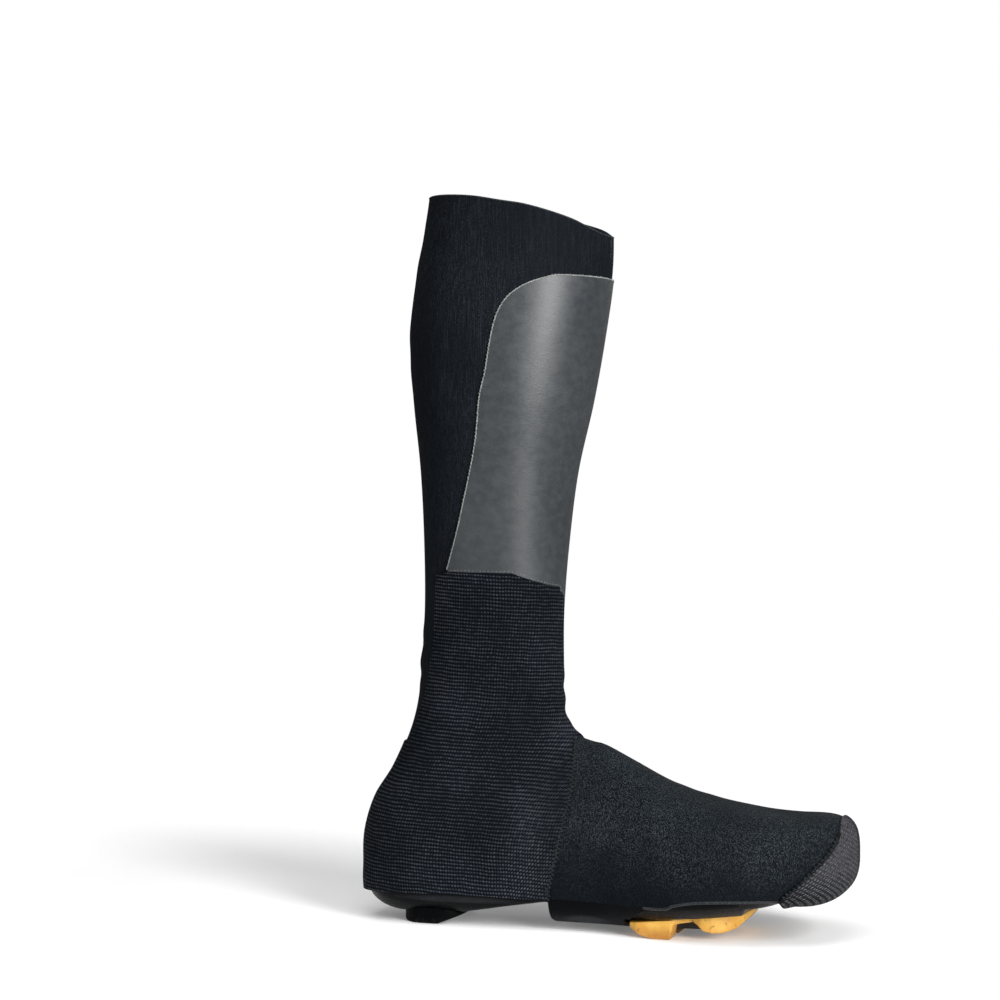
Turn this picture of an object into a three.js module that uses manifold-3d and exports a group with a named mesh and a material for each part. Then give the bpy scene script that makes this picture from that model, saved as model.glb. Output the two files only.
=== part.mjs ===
// A knee-high cycling overshoe for the left foot: a stretch fabric cover over a road shoe's stiff sole.
// Millimetres. +X points to the toe, +Y to the outer side of the foot, +Z up.
// The floor is z = 0 and the origin is the middle of the heel pad's ground face.
import * as THREE from "three";
import { mergeVertices } from "three/addons/utils/BufferGeometryUtils.js";
import Module from "manifold-3d";

const wasm = await Module();
wasm.setup();

// Driving sizes of the covered foot
const footLength = 290.6;
const ballWidth = 106;
const heelWidth = 72;
const instepHeight = 108;
const ankleHeight = 150;
const ankleDepth = 84;
const ankleWidth = 62;
const legAxisX = 76;
const hemHeight = 19;
const strapGap = 2.6;
const toeLift = 22;
const toeTipZ = 50;

// Driving sizes of the shaft
const collarHeight = 420;
const calfDepth = 113;
const calfWidth = 102;

// Walls and clearances
const fabricWall = 1.8;
const gap = 0.3;
const shinPanelWall = 0.8;
const anklePanelWall = 1.1;
const toeCapWall = 1.1;
const soleRimWall = 2.5;
const soleBase = 5;
const insoleWall = 4;

// Sizes of the pads, the cleat and its bolts
const padLength = 41;
const padRear = 25.5;
const padBevel = 1;
const padFlat = 25;
const padWidth = 52;
const padCorner = 15;
const padFrontRise = 6.6;
const cleatSetback = 1;
const cleatLength = 68;
const cleatWidth = 66;
const cleatCore = 38;
const cleatGround = 3.5;
const platformRearAt = 0.566;
const platformRearZ = 8.4;
const platformFrontZ = 15.4;
const boltRadius = 2.5;
const headRadius = 5.6;
const headHeight = 2.6;
const washerRadius = 7;
const washerHeight = 1;
const socketRadius = 2.1;
const socketDepth = 1;
const headChamfer = 0.7;
const boltReach = 5;
const cleatPlate = 3;
const washerPocket = 1;
const rearBoltSpacing = 34;
const boltTriangle = 28;
const rearBoltInset = 18;

// Sizes of the strap under the arch
const strapCorner = 4;
const strapTuck = 6.5;
const strapFlare = 18;

// How far a cutter runs past the face that it cuts
const cutPast = 1;

// How finely the form is faceted
const ringPoints = 26;
const legSteps = 2;
const footSteps = 2;
const toeSteps = 4;
const boltSides = 12;

const lerp = THREE.MathUtils.lerp;

// A table's rows as objects, with one name for each column.
function named(columns, rows) {
  const names = columns.split(" ");
  return rows.map((row) => Object.fromEntries(names.map((name, i) => [name, row[i]])));
}

// Level sections of the shaft, from above the collar down to the ankle.
// up: share of the way from ankle to collar.
// back, front: share of the calf's depth, each side of the leg's axis.
// half, centre: share of the calf's width, centre being towards the outer side.
const legRound = 2.1;
const legRows = named("up back front half centre", [
  [1.08, 0.29, 0.61, 0.47, 0.0],
  [0.96, 0.328, 0.635, 0.47, 0.005],
  [0.84, 0.384, 0.63, 0.489, 0.012],
  [0.7, 0.42, 0.583, 0.5, 0.006],
  [0.56, 0.398, 0.522, 0.474, 0.002],
  [0.41, 0.362, 0.44, 0.427, 0.003],
  [0.25, 0.348, 0.393, 0.369, 0.004],
  [0.11, 0.35, 0.37, 0.321, 0.003],
]);

// Slanting sections that fan round the ankle bend and down the back of the heel.
// frontOut: share of the ankle's depth ahead of the leg's axis. frontUp: 0 is the instep's height, 1 the ankle's.
// backUp: share of the ankle's height.
// backOut: 0 is the back of the ankle, 1 the back of the heel. wide: 0 is the ankle's width, 1 the heel's.
// widest: where along the section, from its back, it is widest. roundFront, roundBack: squareness of each end.
const heelRows = named("frontOut frontUp backOut backUp wide widest roundFront roundBack", [
  [0.497, 1.0, 0.0, 1.0, 0, 0.5, 2.1, 2.1],
  [0.5, 0.786, 0.03, 0.873, 0.12, 0.49, 2.1, 2.1],
  [0.503, 0.596, 0.17, 0.74, 0.4, 0.47, 2.0, 2.1],
  [0.509, 0.454, 0.455, 0.593, 0.62, 0.45, 2.0, 2.2],
  [0.521, 0.321, 0.785, 0.473, 0.8, 0.43, 2.0, 2.3],
  [0.54, 0.214, 0.963, 0.343, 0.92, 0.42, 1.95, 2.4],
  [0.57, 0.118, 0.984, 0.22, 1, 0.42, 1.9, 2.5],
]);

// Sections of the foot, from the heel's lower corner to where the toe's rounding starts.
// topAt, soleAt: share of the foot's length from the back of the heel. topUp: share of the instep's height.
// lift: share of the toe's lift.
// half, centre, ridge: share of the ball's width, ridge being towards the inner side.
const footRows = named("topAt topUp soleAt lift half centre ridge widest roundTop roundSole", [
  [0.438, 1.017, 0.013, 0.5, 0.34, 0.0, 0.0, 0.4, 1.9, 3.0],
  [0.451, 0.998, 0.077, 0.03, 0.34, 0.0, 0.01, 0.39, 1.9, 3.6],
  [0.467, 0.987, 0.171, 0, 0.337, 0.005, 0.03, 0.38, 1.85, 3.6],
  [0.482, 0.981, 0.281, 0, 0.333, 0.012, 0.06, 0.37, 1.8, 3.6],
  [0.498, 0.974, 0.394, 0, 0.337, 0.028, 0.09, 0.36, 1.8, 3.6],
  [0.519, 0.952, 0.508, 0, 0.37, 0.04, 0.11, 0.36, 1.8, 3.6],
  [0.566, 0.89, 0.566, 0.01, 0.408, 0.035, 0.12, 0.37, 1.85, 3.6],
  [0.642, 0.787, 0.642, 0.09, 0.468, 0.018, 0.12, 0.4, 1.95, 3.6],
  [0.724, 0.717, 0.724, 0.27, 0.498, 0.0, 0.11, 0.42, 2.1, 3.6],
  [0.807, 0.672, 0.807, 0.47, 0.468, -0.014, 0.085, 0.44, 2.3, 3.3],
  [0.852, 0.656, 0.852, 0.77, 0.433, -0.022, 0.065, 0.45, 2.4, 3.0],
  [0.893, 0.651, 0.893, 0.94, 0.392, -0.03, 0.05, 0.46, 2.4, 2.8],
]);

// The fabric's lower edge, seen from the side. at: share of the foot's length. up: share of the hem's height.
const hemRows = [
  { at: -0.108, up: 0.926 },
  { at: 0.008, up: 0.953 },
  { at: 0.136, up: 1.016 },
  { at: 0.263, up: 1.042 },
  { at: 0.411, up: 0.989 },
  { at: 0.638, up: 0.989 },
  { at: 0.68, up: 1.147 },
  { at: 0.728, up: 1.284 },
  { at: 0.818, up: 1.347 },
  { at: 0.873, up: 1.326 },
];
const toeFabricStart = 0.876;

// The arch strap's ends, as shares of the foot's length.
const strapRear = 0.412;
const strapFront = 0.563;

// Squareness of the toe's rounding, seen from above and from the side.
const toeRoundPlan = 1.8;
const toeRoundSide = 2.9;

// The collar's edge, seen from the side. ahead, drop: shares of the calf's depth.
const rimRows = [
  { ahead: -0.9, drop: 0 },
  { ahead: -0.35, drop: 0 },
  { ahead: -0.02, drop: 0.024 },
  { ahead: 0.177, drop: 0.058 },
  { ahead: 0.323, drop: 0.085 },
  { ahead: 0.51, drop: 0.146 },
  { ahead: 0.65, drop: 0.221 },
  { ahead: 1.1, drop: 0.425 },
];

// The shin panel's rear edge. ahead: share of the calf's depth.
// up: share of the way from ankle to collar; below 0 it is the share of the way from ankle down to instep.
const shinTop = 0.82;
const shinInnerRows = [
  { up: 0.197, ahead: -0.145 },
  { up: 0.22, ahead: -0.122 },
  { up: 0.309, ahead: -0.052 },
  { up: 0.459, ahead: 0.042 },
  { up: 0.563, ahead: 0.078 },
  { up: 0.622, ahead: 0.112 },
  { up: 0.722, ahead: 0.16 },
  { up: 0.77, ahead: 0.217 },
  { up: 0.8, ahead: 0.312 },
  { up: shinTop, ahead: 0.445 },
  { up: shinTop, ahead: 1.1 },
];
const shinOuterRows = [
  { up: -0.546, ahead: -0.195 },
  { up: 0.1, ahead: -0.13 },
  { up: 0.309, ahead: -0.02 },
  { up: 0.459, ahead: 0.05 },
  { up: 0.563, ahead: 0.078 },
  { up: 0.622, ahead: 0.112 },
  { up: 0.722, ahead: 0.16 },
  { up: 0.77, ahead: 0.217 },
  { up: 0.8, ahead: 0.312 },
  { up: shinTop, ahead: 0.445 },
  { up: shinTop, ahead: 1.1 },
];

// The top of the ankle panel. On the inner side it steps up into the shin panel, to stepEdge past the middle.
const stepEdge = 5;
const stepCorner = 10;
const stepTopRows = [
  { up: 0.191, ahead: -0.205 },
  { up: 0.197, ahead: -0.13 },
  { up: 0.195, ahead: 0.194 },
  { up: 0.154, ahead: 0.43 },
  { up: 0.13, ahead: 1.1 },
];
const ankleTopRows = [
  { up: -0.566, ahead: -0.304 },
  { up: -0.546, ahead: -0.18 },
  { up: -0.45, ahead: 1.1 },
];

// The edge between the plain calf strip and the ankle panel, down to the heel.
const stripRows = [
  { up: 0.11, ahead: -0.222 },
  { up: 0.015, ahead: -0.242 },
  { up: -0.566, ahead: -0.304 },
  { up: -0.823, ahead: -0.338 },
  { up: -1.099, ahead: -0.395 },
];

// The seam between ankle panel and foot, and the toe cap's edge.
// at: share of the foot's length. up: share of the instep's height.
const anklePanelSeam = [
  { at: 0.416, up: -0.1 },
  { at: 0.413, up: 0.16 },
  { at: 0.428, up: 0.37 },
  { at: 0.443, up: 0.56 },
  { at: 0.456, up: 0.8 },
  { at: 0.441, up: 1.024 },
  { at: 0.436, up: 1.06 },
];
const toeCapEdge = [
  { at: 0.85, up: -0.1 },
  { at: 0.854, up: 0.16 },
  { at: 0.881, up: 0.25 },
  { at: 0.911, up: 0.323 },
  { at: 0.94, up: 0.404 },
  { at: 0.964, up: 0.483 },
  { at: 0.975, up: 0.55 },
  { at: 0.976, up: 0.61 },
  { at: 0.968, up: 0.66 },
  { at: 0.955, up: 0.76 },
];

// The sole's underside and rim, seen from the side. up: share of the hem's height.
// at: share of the foot's length, but ahead of the platform the share of the way to the toe's tip.
const soleUnderRows = [
  { at: 0.012, up: 1.158 },
  { at: 0.02, up: 0.895 },
  { at: 0.032, up: 0.663 },
  { at: 0.048, up: 0.474 },
  { at: 0.068, up: 0.368 },
  { at: 0.092, up: 0.326 },
  { at: 0.181, up: 0.337 },
  { at: 0.231, up: 0.379 },
  { at: 0.311, up: 0.6 },
  { at: 0.398, up: 0.816 },
  { at: 0.471, up: 0.768 },
  { at: 0.536, up: 0.526 },
];
const soleToeRows = [
  { at: 0.034, up: 0.995 },
  { at: 0.26, up: 1.095 },
  { at: 0.381, up: 1.179 },
  { at: 0.601, up: 1.347 },
  { at: 0.75, up: 1.579 },
  { at: 0.9, up: 2 },
];
const rimTopRows = [
  { at: 0.99, up: 2.105 },
  { at: 0.92, up: 1.947 },
  { at: 0.79, up: 1.684 },
  { at: 0.64, up: 1.474 },
  { at: 0.401, up: 1.474 },
  { at: 0.092, up: 1.474 },
  { at: -0.008, up: 1.579 },
];

// The cleat's underside, seen from the side.
// at: share of its length, from its rear. up: share of the platform's front height.
const cleatWingRows = [
  { at: 0.0, up: 0.481 },
  { at: 0.06, up: 0.26 },
  { at: 0.14, up: 0.078 },
  { at: 0.22, up: 0 },
  { at: 0.38, up: 0 },
  { at: 0.4, up: 0.519 },
  { at: 0.56, up: 0.636 },
  { at: 0.6, up: 0.519 },
  { at: 0.65, up: 0.338 },
  { at: 0.72, up: 0.26 },
  { at: 0.81, up: 0.266 },
  { at: 0.9, up: 0.429 },
  { at: 0.965, up: 0.714 },
  { at: 1.0, up: 0.948 },
];
// Half of the cleat's outline, seen from below. at: share of its length. out: share of half its width.
const cleatOutlineRows = [
  { at: 0.0, out: 0.7 },
  { at: 0.03, out: 0.92 },
  { at: 0.09, out: 1.0 },
  { at: 0.38, out: 1.0 },
  { at: 0.45, out: 0.88 },
  { at: 0.56, out: 0.86 },
  { at: 0.63, out: 0.92 },
  { at: 0.72, out: 0.9 },
  { at: 0.86, out: 0.72 },
  { at: 0.95, out: 0.52 },
  { at: 0.99, out: 0.3 },
];

const ankleToCollar = collarHeight - ankleHeight;
const legX = (ahead) => legAxisX + ahead * calfDepth;
const legZ = (up) => ankleHeight + up * (up < 0 ? ankleHeight - instepHeight : ankleToCollar);
const footX = (at) => at * footLength;

// Places along the sole that the cleat and its bolts share
const platformRear = footX(platformRearAt);
const platformFront = platformRear + cleatLength;
const cleatRear = platformRear + cleatSetback;
const rearBoltX = cleatRear + rearBoltInset;

// Each row of the three section tables as one section in millimetres: its front and back points and its widths.
function legSection(row) {
  return {
    frontX: legX(row.front),
    frontZ: legZ(row.up),
    backX: legX(-row.back),
    backZ: legZ(row.up),
    half: row.half * calfWidth,
    centre: row.centre * calfWidth,
    ridge: 0,
    widest: 0.5,
    roundFront: legRound,
    roundBack: legRound,
  };
}

function heelSection(row) {
  const ankleBack = legAxisX - ankleDepth / 2;
  return {
    frontX: legAxisX + row.frontOut * ankleDepth,
    frontZ: lerp(instepHeight, ankleHeight, row.frontUp),
    backX: ankleBack * (1 - row.backOut),
    backZ: row.backUp * ankleHeight,
    half: lerp(ankleWidth, heelWidth, row.wide) / 2,
    centre: 0,
    ridge: 0,
    widest: row.widest,
    roundFront: row.roundFront,
    roundBack: row.roundBack,
  };
}

function footSection(row) {
  return {
    frontX: footX(row.topAt),
    frontZ: row.topUp * instepHeight,
    backX: footX(row.soleAt),
    backZ: lerp(strapGap, toeLift, row.lift),
    half: row.half * ballWidth,
    centre: row.centre * ballWidth,
    ridge: row.ridge * ballWidth,
    widest: row.widest,
    roundFront: row.roundTop,
    roundBack: row.roundSole,
  };
}

// A smooth curve through one column of the sections, a number of steps after section i.
function between(sections, i, t, key) {
  const at = (k) => sections[THREE.MathUtils.clamp(k, 0, sections.length - 1)][key];
  const [a, b, c, d] = [at(i - 1), at(i), at(i + 1), at(i + 2)];
  const slopeB = (c - a) / 2;
  const slopeC = (d - b) / 2;
  const t2 = t * t;
  const t3 = t2 * t;
  return (2 * t3 - 3 * t2 + 1) * b + (t3 - 2 * t2 + t) * slopeB + (3 * t2 - 2 * t3) * c + (t3 - t2) * slopeC;
}

function refined(sections, from, to, steps) {
  const keys = Object.keys(sections[0]);
  const out = [];
  for (let i = from; i < to; i++)
    for (let step = 0; step < steps; step++)
      out.push(Object.fromEntries(keys.map((key) => [key, between(sections, i, step / steps, key)])));
  return out;
}

// All the form's sections, from above the collar to the start of the toe's rounding.
const keySections = [...legRows.map(legSection), ...heelRows.map(heelSection), ...footRows.map(footSection)];
const fanStart = legRows.length;
const flatStart = fanStart + heelRows.length + 5;
const last = keySections.length - 1;
const formSections = [
  ...refined(keySections, 0, fanStart, legSteps),
  ...refined(keySections, fanStart, flatStart, 1),
  ...refined(keySections, flatStart, last, footSteps),
  keySections[last],
];

// One section as a closed ring of points, drawn in by inset from its own outline.
function ringOf(section, inset) {
  const front = new THREE.Vector3(section.frontX, 0, section.frontZ);
  const back = new THREE.Vector3(section.backX, 0, section.backZ);
  const direction = front.clone().sub(back);
  const height = direction.length() - 2 * inset;
  direction.normalize();
  const half = section.half - inset;
  const ring = [];
  for (let i = 0; i < ringPoints; i++) {
    const angle = (2 * Math.PI * i) / ringPoints;
    const c = Math.cos(angle);
    const s = Math.sin(angle);
    const square = c >= 0 ? section.roundFront : section.roundBack;
    const reach = (Math.abs(c) ** square + Math.abs(s) ** square) ** (-1 / square);
    const along = section.widest + (c >= 0 ? 1 - section.widest : section.widest) * reach * c;
    const towardsTop = Math.max(0, (along - section.widest) / (1 - section.widest));
    const point = back.clone().addScaledVector(direction, inset + along * height);
    point.y = section.centre + half * reach * s - section.ridge * towardsTop ** 2;
    ring.push(point);
  }
  return ring;
}

// A closed skin over rings of equal count, with a flat fan at each end.
function skin(rings) {
  const count = rings[0].length;
  const positions = rings.flat().flatMap((p) => [p.x, p.y, p.z]);
  const index = [];
  for (let r = 0; r + 1 < rings.length; r++)
    for (let i = 0; i < count; i++) {
      const j = (i + 1) % count;
      const [a, b, c, d] = [r * count + i, r * count + j, (r + 1) * count + i, (r + 1) * count + j];
      index.push(a, c, b, b, c, d);
    }
  for (const [ring, flip] of [[0, false], [rings.length - 1, true]]) {
    const middle = positions.length / 3;
    const centre = rings[ring].reduce((sum, p) => sum.add(p), new THREE.Vector3()).divideScalar(count);
    positions.push(centre.x, centre.y, centre.z);
    for (let i = 0; i < count; i++) {
      const a = ring * count + i;
      const b = ring * count + ((i + 1) % count);
      index.push(...(flip ? [middle, b, a] : [middle, a, b]));
    }
  }
  const geometry = new THREE.BufferGeometry();
  geometry.setAttribute("position", new THREE.Float32BufferAttribute(positions, 3));
  geometry.setIndex(index);
  return geometry;
}

// Three.js geometry to a solid for joining and cutting, and back.
function solidOf(geometry) {
  const bare = geometry.clone();
  bare.deleteAttribute("normal");
  bare.deleteAttribute("uv");
  const merged = mergeVertices(bare, 1e-4);
  const solid = new wasm.Manifold(
    new wasm.Mesh({
      numProp: 3,
      vertProperties: new Float32Array(merged.attributes.position.array),
      triVerts: new Uint32Array(merged.index.array),
    }),
  );
  return solid;
}

function geometryOf(solid) {
  const mesh = solid.getMesh();
  const positions = [];
  for (let i = 0; i < mesh.numVert; i++)
    positions.push(...mesh.vertProperties.subarray(i * mesh.numProp, i * mesh.numProp + 3));
  const geometry = new THREE.BufferGeometry();
  geometry.setAttribute("position", new THREE.Float32BufferAttribute(positions, 3));
  geometry.setIndex([...mesh.triVerts]);
  geometry.computeVertexNormals();
  return geometry;
}

// The covered foot and leg as one closed form, drawn in by inset; a negative inset lies outside it.
function form(inset) {
  const rings = formSections.map((section) => ringOf(section, inset));
  const toe = keySections[last];
  const reach = footLength - inset - toe.frontX;
  const rise = toeTipZ - (toe.frontZ + toe.backZ) / 2;
  for (let i = 1; i <= toeSteps; i++) {
    const ahead = Math.sin((0.5 * Math.PI * i) / (toeSteps + 0.3));
    const wide = (1 - ahead ** toeRoundPlan) ** (1 / toeRoundPlan);
    const tall = (1 - ahead ** toeRoundSide) ** (1 / toeRoundSide);
    rings.push(ringOf(toeSection(toe, wide, tall, ahead * reach, ahead ** 2 * rise), inset * tall));
  }
  return solidOf(skin(rings));
}

// The toe's last whole section, narrowed, lowered and moved forward.
function toeSection(toe, wide, tall, advance, rise) {
  const middleZ = (toe.frontZ + toe.backZ) / 2;
  return {
    ...toe,
    frontX: toe.frontX + advance,
    backX: toe.backX + advance,
    frontZ: lerp(middleZ, toe.frontZ, tall) + rise,
    backZ: lerp(middleZ, toe.backZ, tall) + rise,
    half: toe.half * wide,
    ridge: toe.ridge * wide,
  };
}

// A prism whose outline is drawn in the side view and which runs across from y0 to y1.
function sidePrism(points, y0, y1) {
  const shape = new THREE.Shape(points.map(([x, z]) => new THREE.Vector2(x, z)));
  const geometry = new THREE.ExtrudeGeometry(shape, { depth: y1 - y0, bevelEnabled: false });
  geometry.rotateX(Math.PI / 2);
  geometry.translate(0, y1, 0);
  return solidOf(geometry);
}

// A prism whose outline is drawn in the plan view and which stands from z0 to z1.
function planPrism(points, z0, z1) {
  const shape = new THREE.Shape(points.map(([x, y]) => new THREE.Vector2(x, y)));
  const geometry = new THREE.ExtrudeGeometry(shape, { depth: z1 - z0, bevelEnabled: false });
  geometry.translate(0, 0, z0);
  return solidOf(geometry);
}

// A prism whose outline is drawn in the front view and which runs along the whole foot.
function frontPrism(points) {
  const shape = new THREE.Shape(points.map(([y, z]) => new THREE.Vector2(y, z)));
  const geometry = new THREE.ExtrudeGeometry(shape, { depth: footLength + 2 * far, bevelEnabled: false });
  geometry.rotateX(Math.PI / 2);
  geometry.rotateZ(Math.PI / 2);
  geometry.translate(-far, 0, 0);
  return solidOf(geometry);
}

// Far enough outside the object for a cutter's hidden sides
const far = 120;
const above = collarHeight + far;

const outside = form(0);
const inside = form(fabricWall);
const solePocket = form(fabricWall + gap);
const insolePocket = form(fabricWall + gap + soleRimWall);

const hemLine = hemRows.map(({ at, up }) => [footX(at), up * hemHeight]);
const belowHem = [
  [footX(hemRows[0].at), -far],
  ...hemLine,
  [footX(toeFabricStart), hemLine.at(-1)[1] - 0.5],
  [footX(toeFabricStart), -far],
].reverse();
const aboveRim = [
  ...rimRows.map(({ ahead, drop }) => [legX(ahead), collarHeight - drop * calfDepth]),
  [legX(rimRows.at(-1).ahead), above],
  [legX(rimRows[0].ahead), above],
];

// The cover itself: one wall from collar to toe, open at the collar and under the sole.
function makeUpper() {
  return outside
    .subtract(inside)
    .subtract(sidePrism(aboveRim, -far, far))
    .subtract(sidePrism(belowHem, -far, far));
}

// A band over the upper, wall thick, within the given region.
function overlay(wall, region) {
  return form(-gap - wall).subtract(form(-gap)).intersect(region);
}

const legPoints = (rows, raise = 0) => rows.map(({ up, ahead }) => [legX(ahead), legZ(up) + raise]);
const farBack = legX(-1.2);
const farAhead = legX(1.1);

// The ankle panel's region, from the seam at the foot back round the heel; margin grows its upper edges.
function ankleRegion(margin) {
  const seam = anklePanelSeam.map(({ at, up }) => [footX(at), up * instepHeight]);
  const strip = legPoints(stripRows);
  const low = [
    ...seam,
    [farAhead, instepHeight],
    ...legPoints(ankleTopRows, margin).reverse(),
    ...strip.slice(3),
    [farBack, strip.at(-1)[1]],
    [farBack, -far],
  ];
  const root = strip[3][1];
  const step = [
    ...legPoints(stepTopRows, margin).reverse(),
    ...strip.slice(0, 3),
    [legX(-0.1), root],
    [farAhead, root],
  ];
  const edge = stepEdge + margin;
  const cornerZ = legZ(stepTopRows.at(-2).up) + margin - stepCorner;
  const corner = new THREE.Shape();
  corner.moveTo(-far, -far);
  corner.lineTo(edge, -far);
  corner.absarc(edge - stepCorner, cornerZ, stepCorner, 0, Math.PI / 2, false);
  corner.lineTo(edge - stepCorner, above);
  corner.lineTo(-far, above);
  const innerSide = frontPrism(corner.getPoints(5).map((p) => [p.x, p.y]));
  return sidePrism(low, -far, far).add(sidePrism(step, -far, far).intersect(innerSide));
}

// The shin panel: over the shin from its arched top down to the ankle panel, with its edges behind it.
function makeShinPanel() {
  const lowest = [farAhead, legZ(-0.64)];
  const inner = [...legPoints(shinInnerRows), [farAhead, legZ(0)]];
  const outer = [...legPoints(shinOuterRows), lowest];
  const region = sidePrism(inner.reverse(), -far, stepEdge)
    .add(sidePrism(outer.reverse(), stepEdge - 0.01, far))
    .subtract(ankleRegion(gap));
  return overlay(shinPanelWall, region);
}

// The ankle panel: raised knit from the foot's seam round the heel and up to the shin panel.
function makeAnklePanel() {
  return overlay(anklePanelWall, ankleRegion(0)).subtract(sidePrism(belowHem, -far, far));
}

function makeToeCap() {
  const edge = toeCapEdge.map(({ at, up }) => [footX(at), up * instepHeight]);
  const toeEnd = footLength + far;
  const region = sidePrism([[toeEnd, -far], [toeEnd, far], ...edge.reverse()], -far, far);
  return overlay(toeCapWall, region).subtract(sidePrism(belowHem, -far, far));
}

// The closure under the arch: a band that carries the foot's wall round below the sole.
function makeArchStrap() {
  const rear = footX(strapRear);
  const front = footX(strapFront);
  const top = hemLine[4][1] - gap;
  const region = [
    [rear, top],
    [rear, strapGap + strapCorner],
    [rear + 0.3 * strapCorner, strapGap + 0.375 * strapCorner],
    [rear + strapCorner, strapGap - cutPast],
    [front, strapGap - cutPast],
    [front + gap, strapGap + strapTuck],
    [front + strapFlare, top],
  ];
  return outside.subtract(inside).intersect(sidePrism(region, -far, far));
}

const platformSlope = (platformFrontZ - platformRearZ) / (platformFront - platformRear);
const platformZ = (x) => platformRearZ + (x - platformRear) * platformSlope;
const soleUnder = [
  ...soleUnderRows.map(({ at, up }) => [footX(at), up * hemHeight]),
  [platformRear, platformRearZ],
  [platformFront, platformFrontZ],
  ...soleToeRows.map(({ at, up }) => [lerp(platformFront, footLength, at), up * hemHeight]),
];

// The underside's height at one place along the foot.
function soleUnderZ(x) {
  const i = soleUnder.findIndex((p) => p[0] > x);
  const [a, b] = [soleUnder[i - 1], soleUnder[i]];
  return lerp(a[1], b[1], (x - a[0]) / (b[0] - a[0]));
}

// The footbed: the underside raised by lift, with the arch and the platform's step smoothed by hand.
const footbedAt = [
  0.037, 0.062, 0.092, 0.181, 0.241, 0.311, 0.401, 0.491, 0.566, 0.64, 0.71, 0.78, 0.85, 0.92, 0.955,
];
const footbedSmoothing = { 0.566: 2.5, 0.78: 1.5 };
const footbedLine = (lift) =>
  footbedAt.map((at) => [footX(at), soleUnderZ(footX(at)) + lift + (footbedSmoothing[at] ?? 0)]);

const boltPlaces = [
  { name: "cleat_bolt_front", x: rearBoltX + boltTriangle, y: 0 },
  { name: "cleat_bolt_inner", x: rearBoltX, y: -rearBoltSpacing / 2 },
  { name: "cleat_bolt_outer", x: rearBoltX, y: rearBoltSpacing / 2 },
];

// A round post square to the platform at one bolt's place, between two heights above the platform's face.
function postAt({ x, y }, radius, low, high) {
  const post = new THREE.CylinderGeometry(radius, radius, high - low, 16);
  post.rotateX(Math.PI / 2);
  post.translate(0, 0, (high + low) / 2);
  post.rotateY(-Math.atan(platformSlope));
  post.translate(x, y, platformZ(x));
  return solidOf(post);
}

// The sole's outer shape, before its tray is cut.
function soleBlank() {
  const profile = [...soleUnder, ...rimTopRows.map(({ at, up }) => [footX(at), up * hemHeight])];
  return solePocket.intersect(sidePrism(profile, -far, far));
}

// The stiff sole: a shallow tray with a platform for the cleat.
function makeOutsole() {
  const tray = [...footbedLine(soleBase), [footX(0.98), far], [footX(0.022), far]];
  let sole = soleBlank();
  sole = sole.subtract(insolePocket.intersect(sidePrism(tray, -far, far)));
  for (const place of boltPlaces) sole = sole.subtract(postAt(place, boltRadius + gap, -cutPast, 2 * soleBase));
  return sole;
}

function makeInsole() {
  const bottom = footbedLine(soleBase + gap);
  const top = footbedLine(soleBase + gap + insoleWall).reverse();
  return form(fabricWall + gap + soleRimWall + gap).intersect(sidePrism([...bottom, ...top], -far, far));
}

// The rubber pad under the heel, hollowed on top to the sole's rounded underside.
function makeHeelPad() {
  const half = padWidth / 2;
  const front = padRear + padLength;
  const outline = new THREE.Shape();
  outline.moveTo(front, -half + padCorner);
  outline.lineTo(front, half - padCorner);
  outline.absarc(front - padCorner, half - padCorner, padCorner, 0, Math.PI / 2, false);
  outline.absellipse(padRear + padCorner, 0, padCorner, half, Math.PI / 2, (3 * Math.PI) / 2, false, 0);
  outline.absarc(front - padCorner, -half + padCorner, padCorner, -Math.PI / 2, 0, false);
  const plan = planPrism(outline.getPoints(6).map((p) => [p.x, p.y]), -cutPast, hemHeight);
  const profile = [
    [padRear - cutPast, hemHeight],
    [padRear - cutPast, padBevel * 4],
    [padRear + padBevel, 0],
    [padRear + padBevel + padFlat, 0],
    [lerp(padRear, front, 0.93), padFrontRise * 0.7],
    [front + cutPast, padFrontRise],
    [front + cutPast, hemHeight],
  ];
  const across = half + cutPast;
  return plan.intersect(sidePrism(profile, -across, across)).subtract(soleBlank().translate(0, 0, -gap));
}

// The three-bolt cleat: two rear wings that stand on the floor, a waist, and a nose.
function makeCleat() {
  const x = (at) => cleatRear + at * cleatLength;
  const half = cleatWidth / 2;
  const under = cleatWingRows.map(({ at, up }) => [x(at), up * platformFrontZ]);
  const top = [
    [x(1), platformZ(x(1)) - gap],
    [x(0), platformZ(x(0)) - gap],
  ];
  const wings = sidePrism([...under, ...top], -half, half);
  const coreUnder = [
    [x(0.1), platformZ(x(0.1)) - cleatPlate],
    [x(0.16), cleatGround],
    [x(0.7), cleatGround + 1],
    [x(0.9), platformFrontZ / 2],
  ];
  const core = sidePrism([...coreUnder, ...top], -cleatCore / 2, cleatCore / 2);
  const side = cleatOutlineRows.map(({ at, out }) => [x(at), out * half]);
  const mirrored = side.map(([px, py]) => [px, -py]).reverse();
  let cleat = wings.add(core).intersect(planPrism([...mirrored, ...side].reverse(), -cutPast, hemHeight));
  for (const place of boltPlaces) {
    cleat = cleat.subtract(postAt(place, washerRadius + washerPocket, -hemHeight, -gap - cleatPlate));
    cleat = cleat.subtract(postAt(place, boltRadius + gap, -hemHeight, boltReach));
  }
  return cleat;
}

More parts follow.
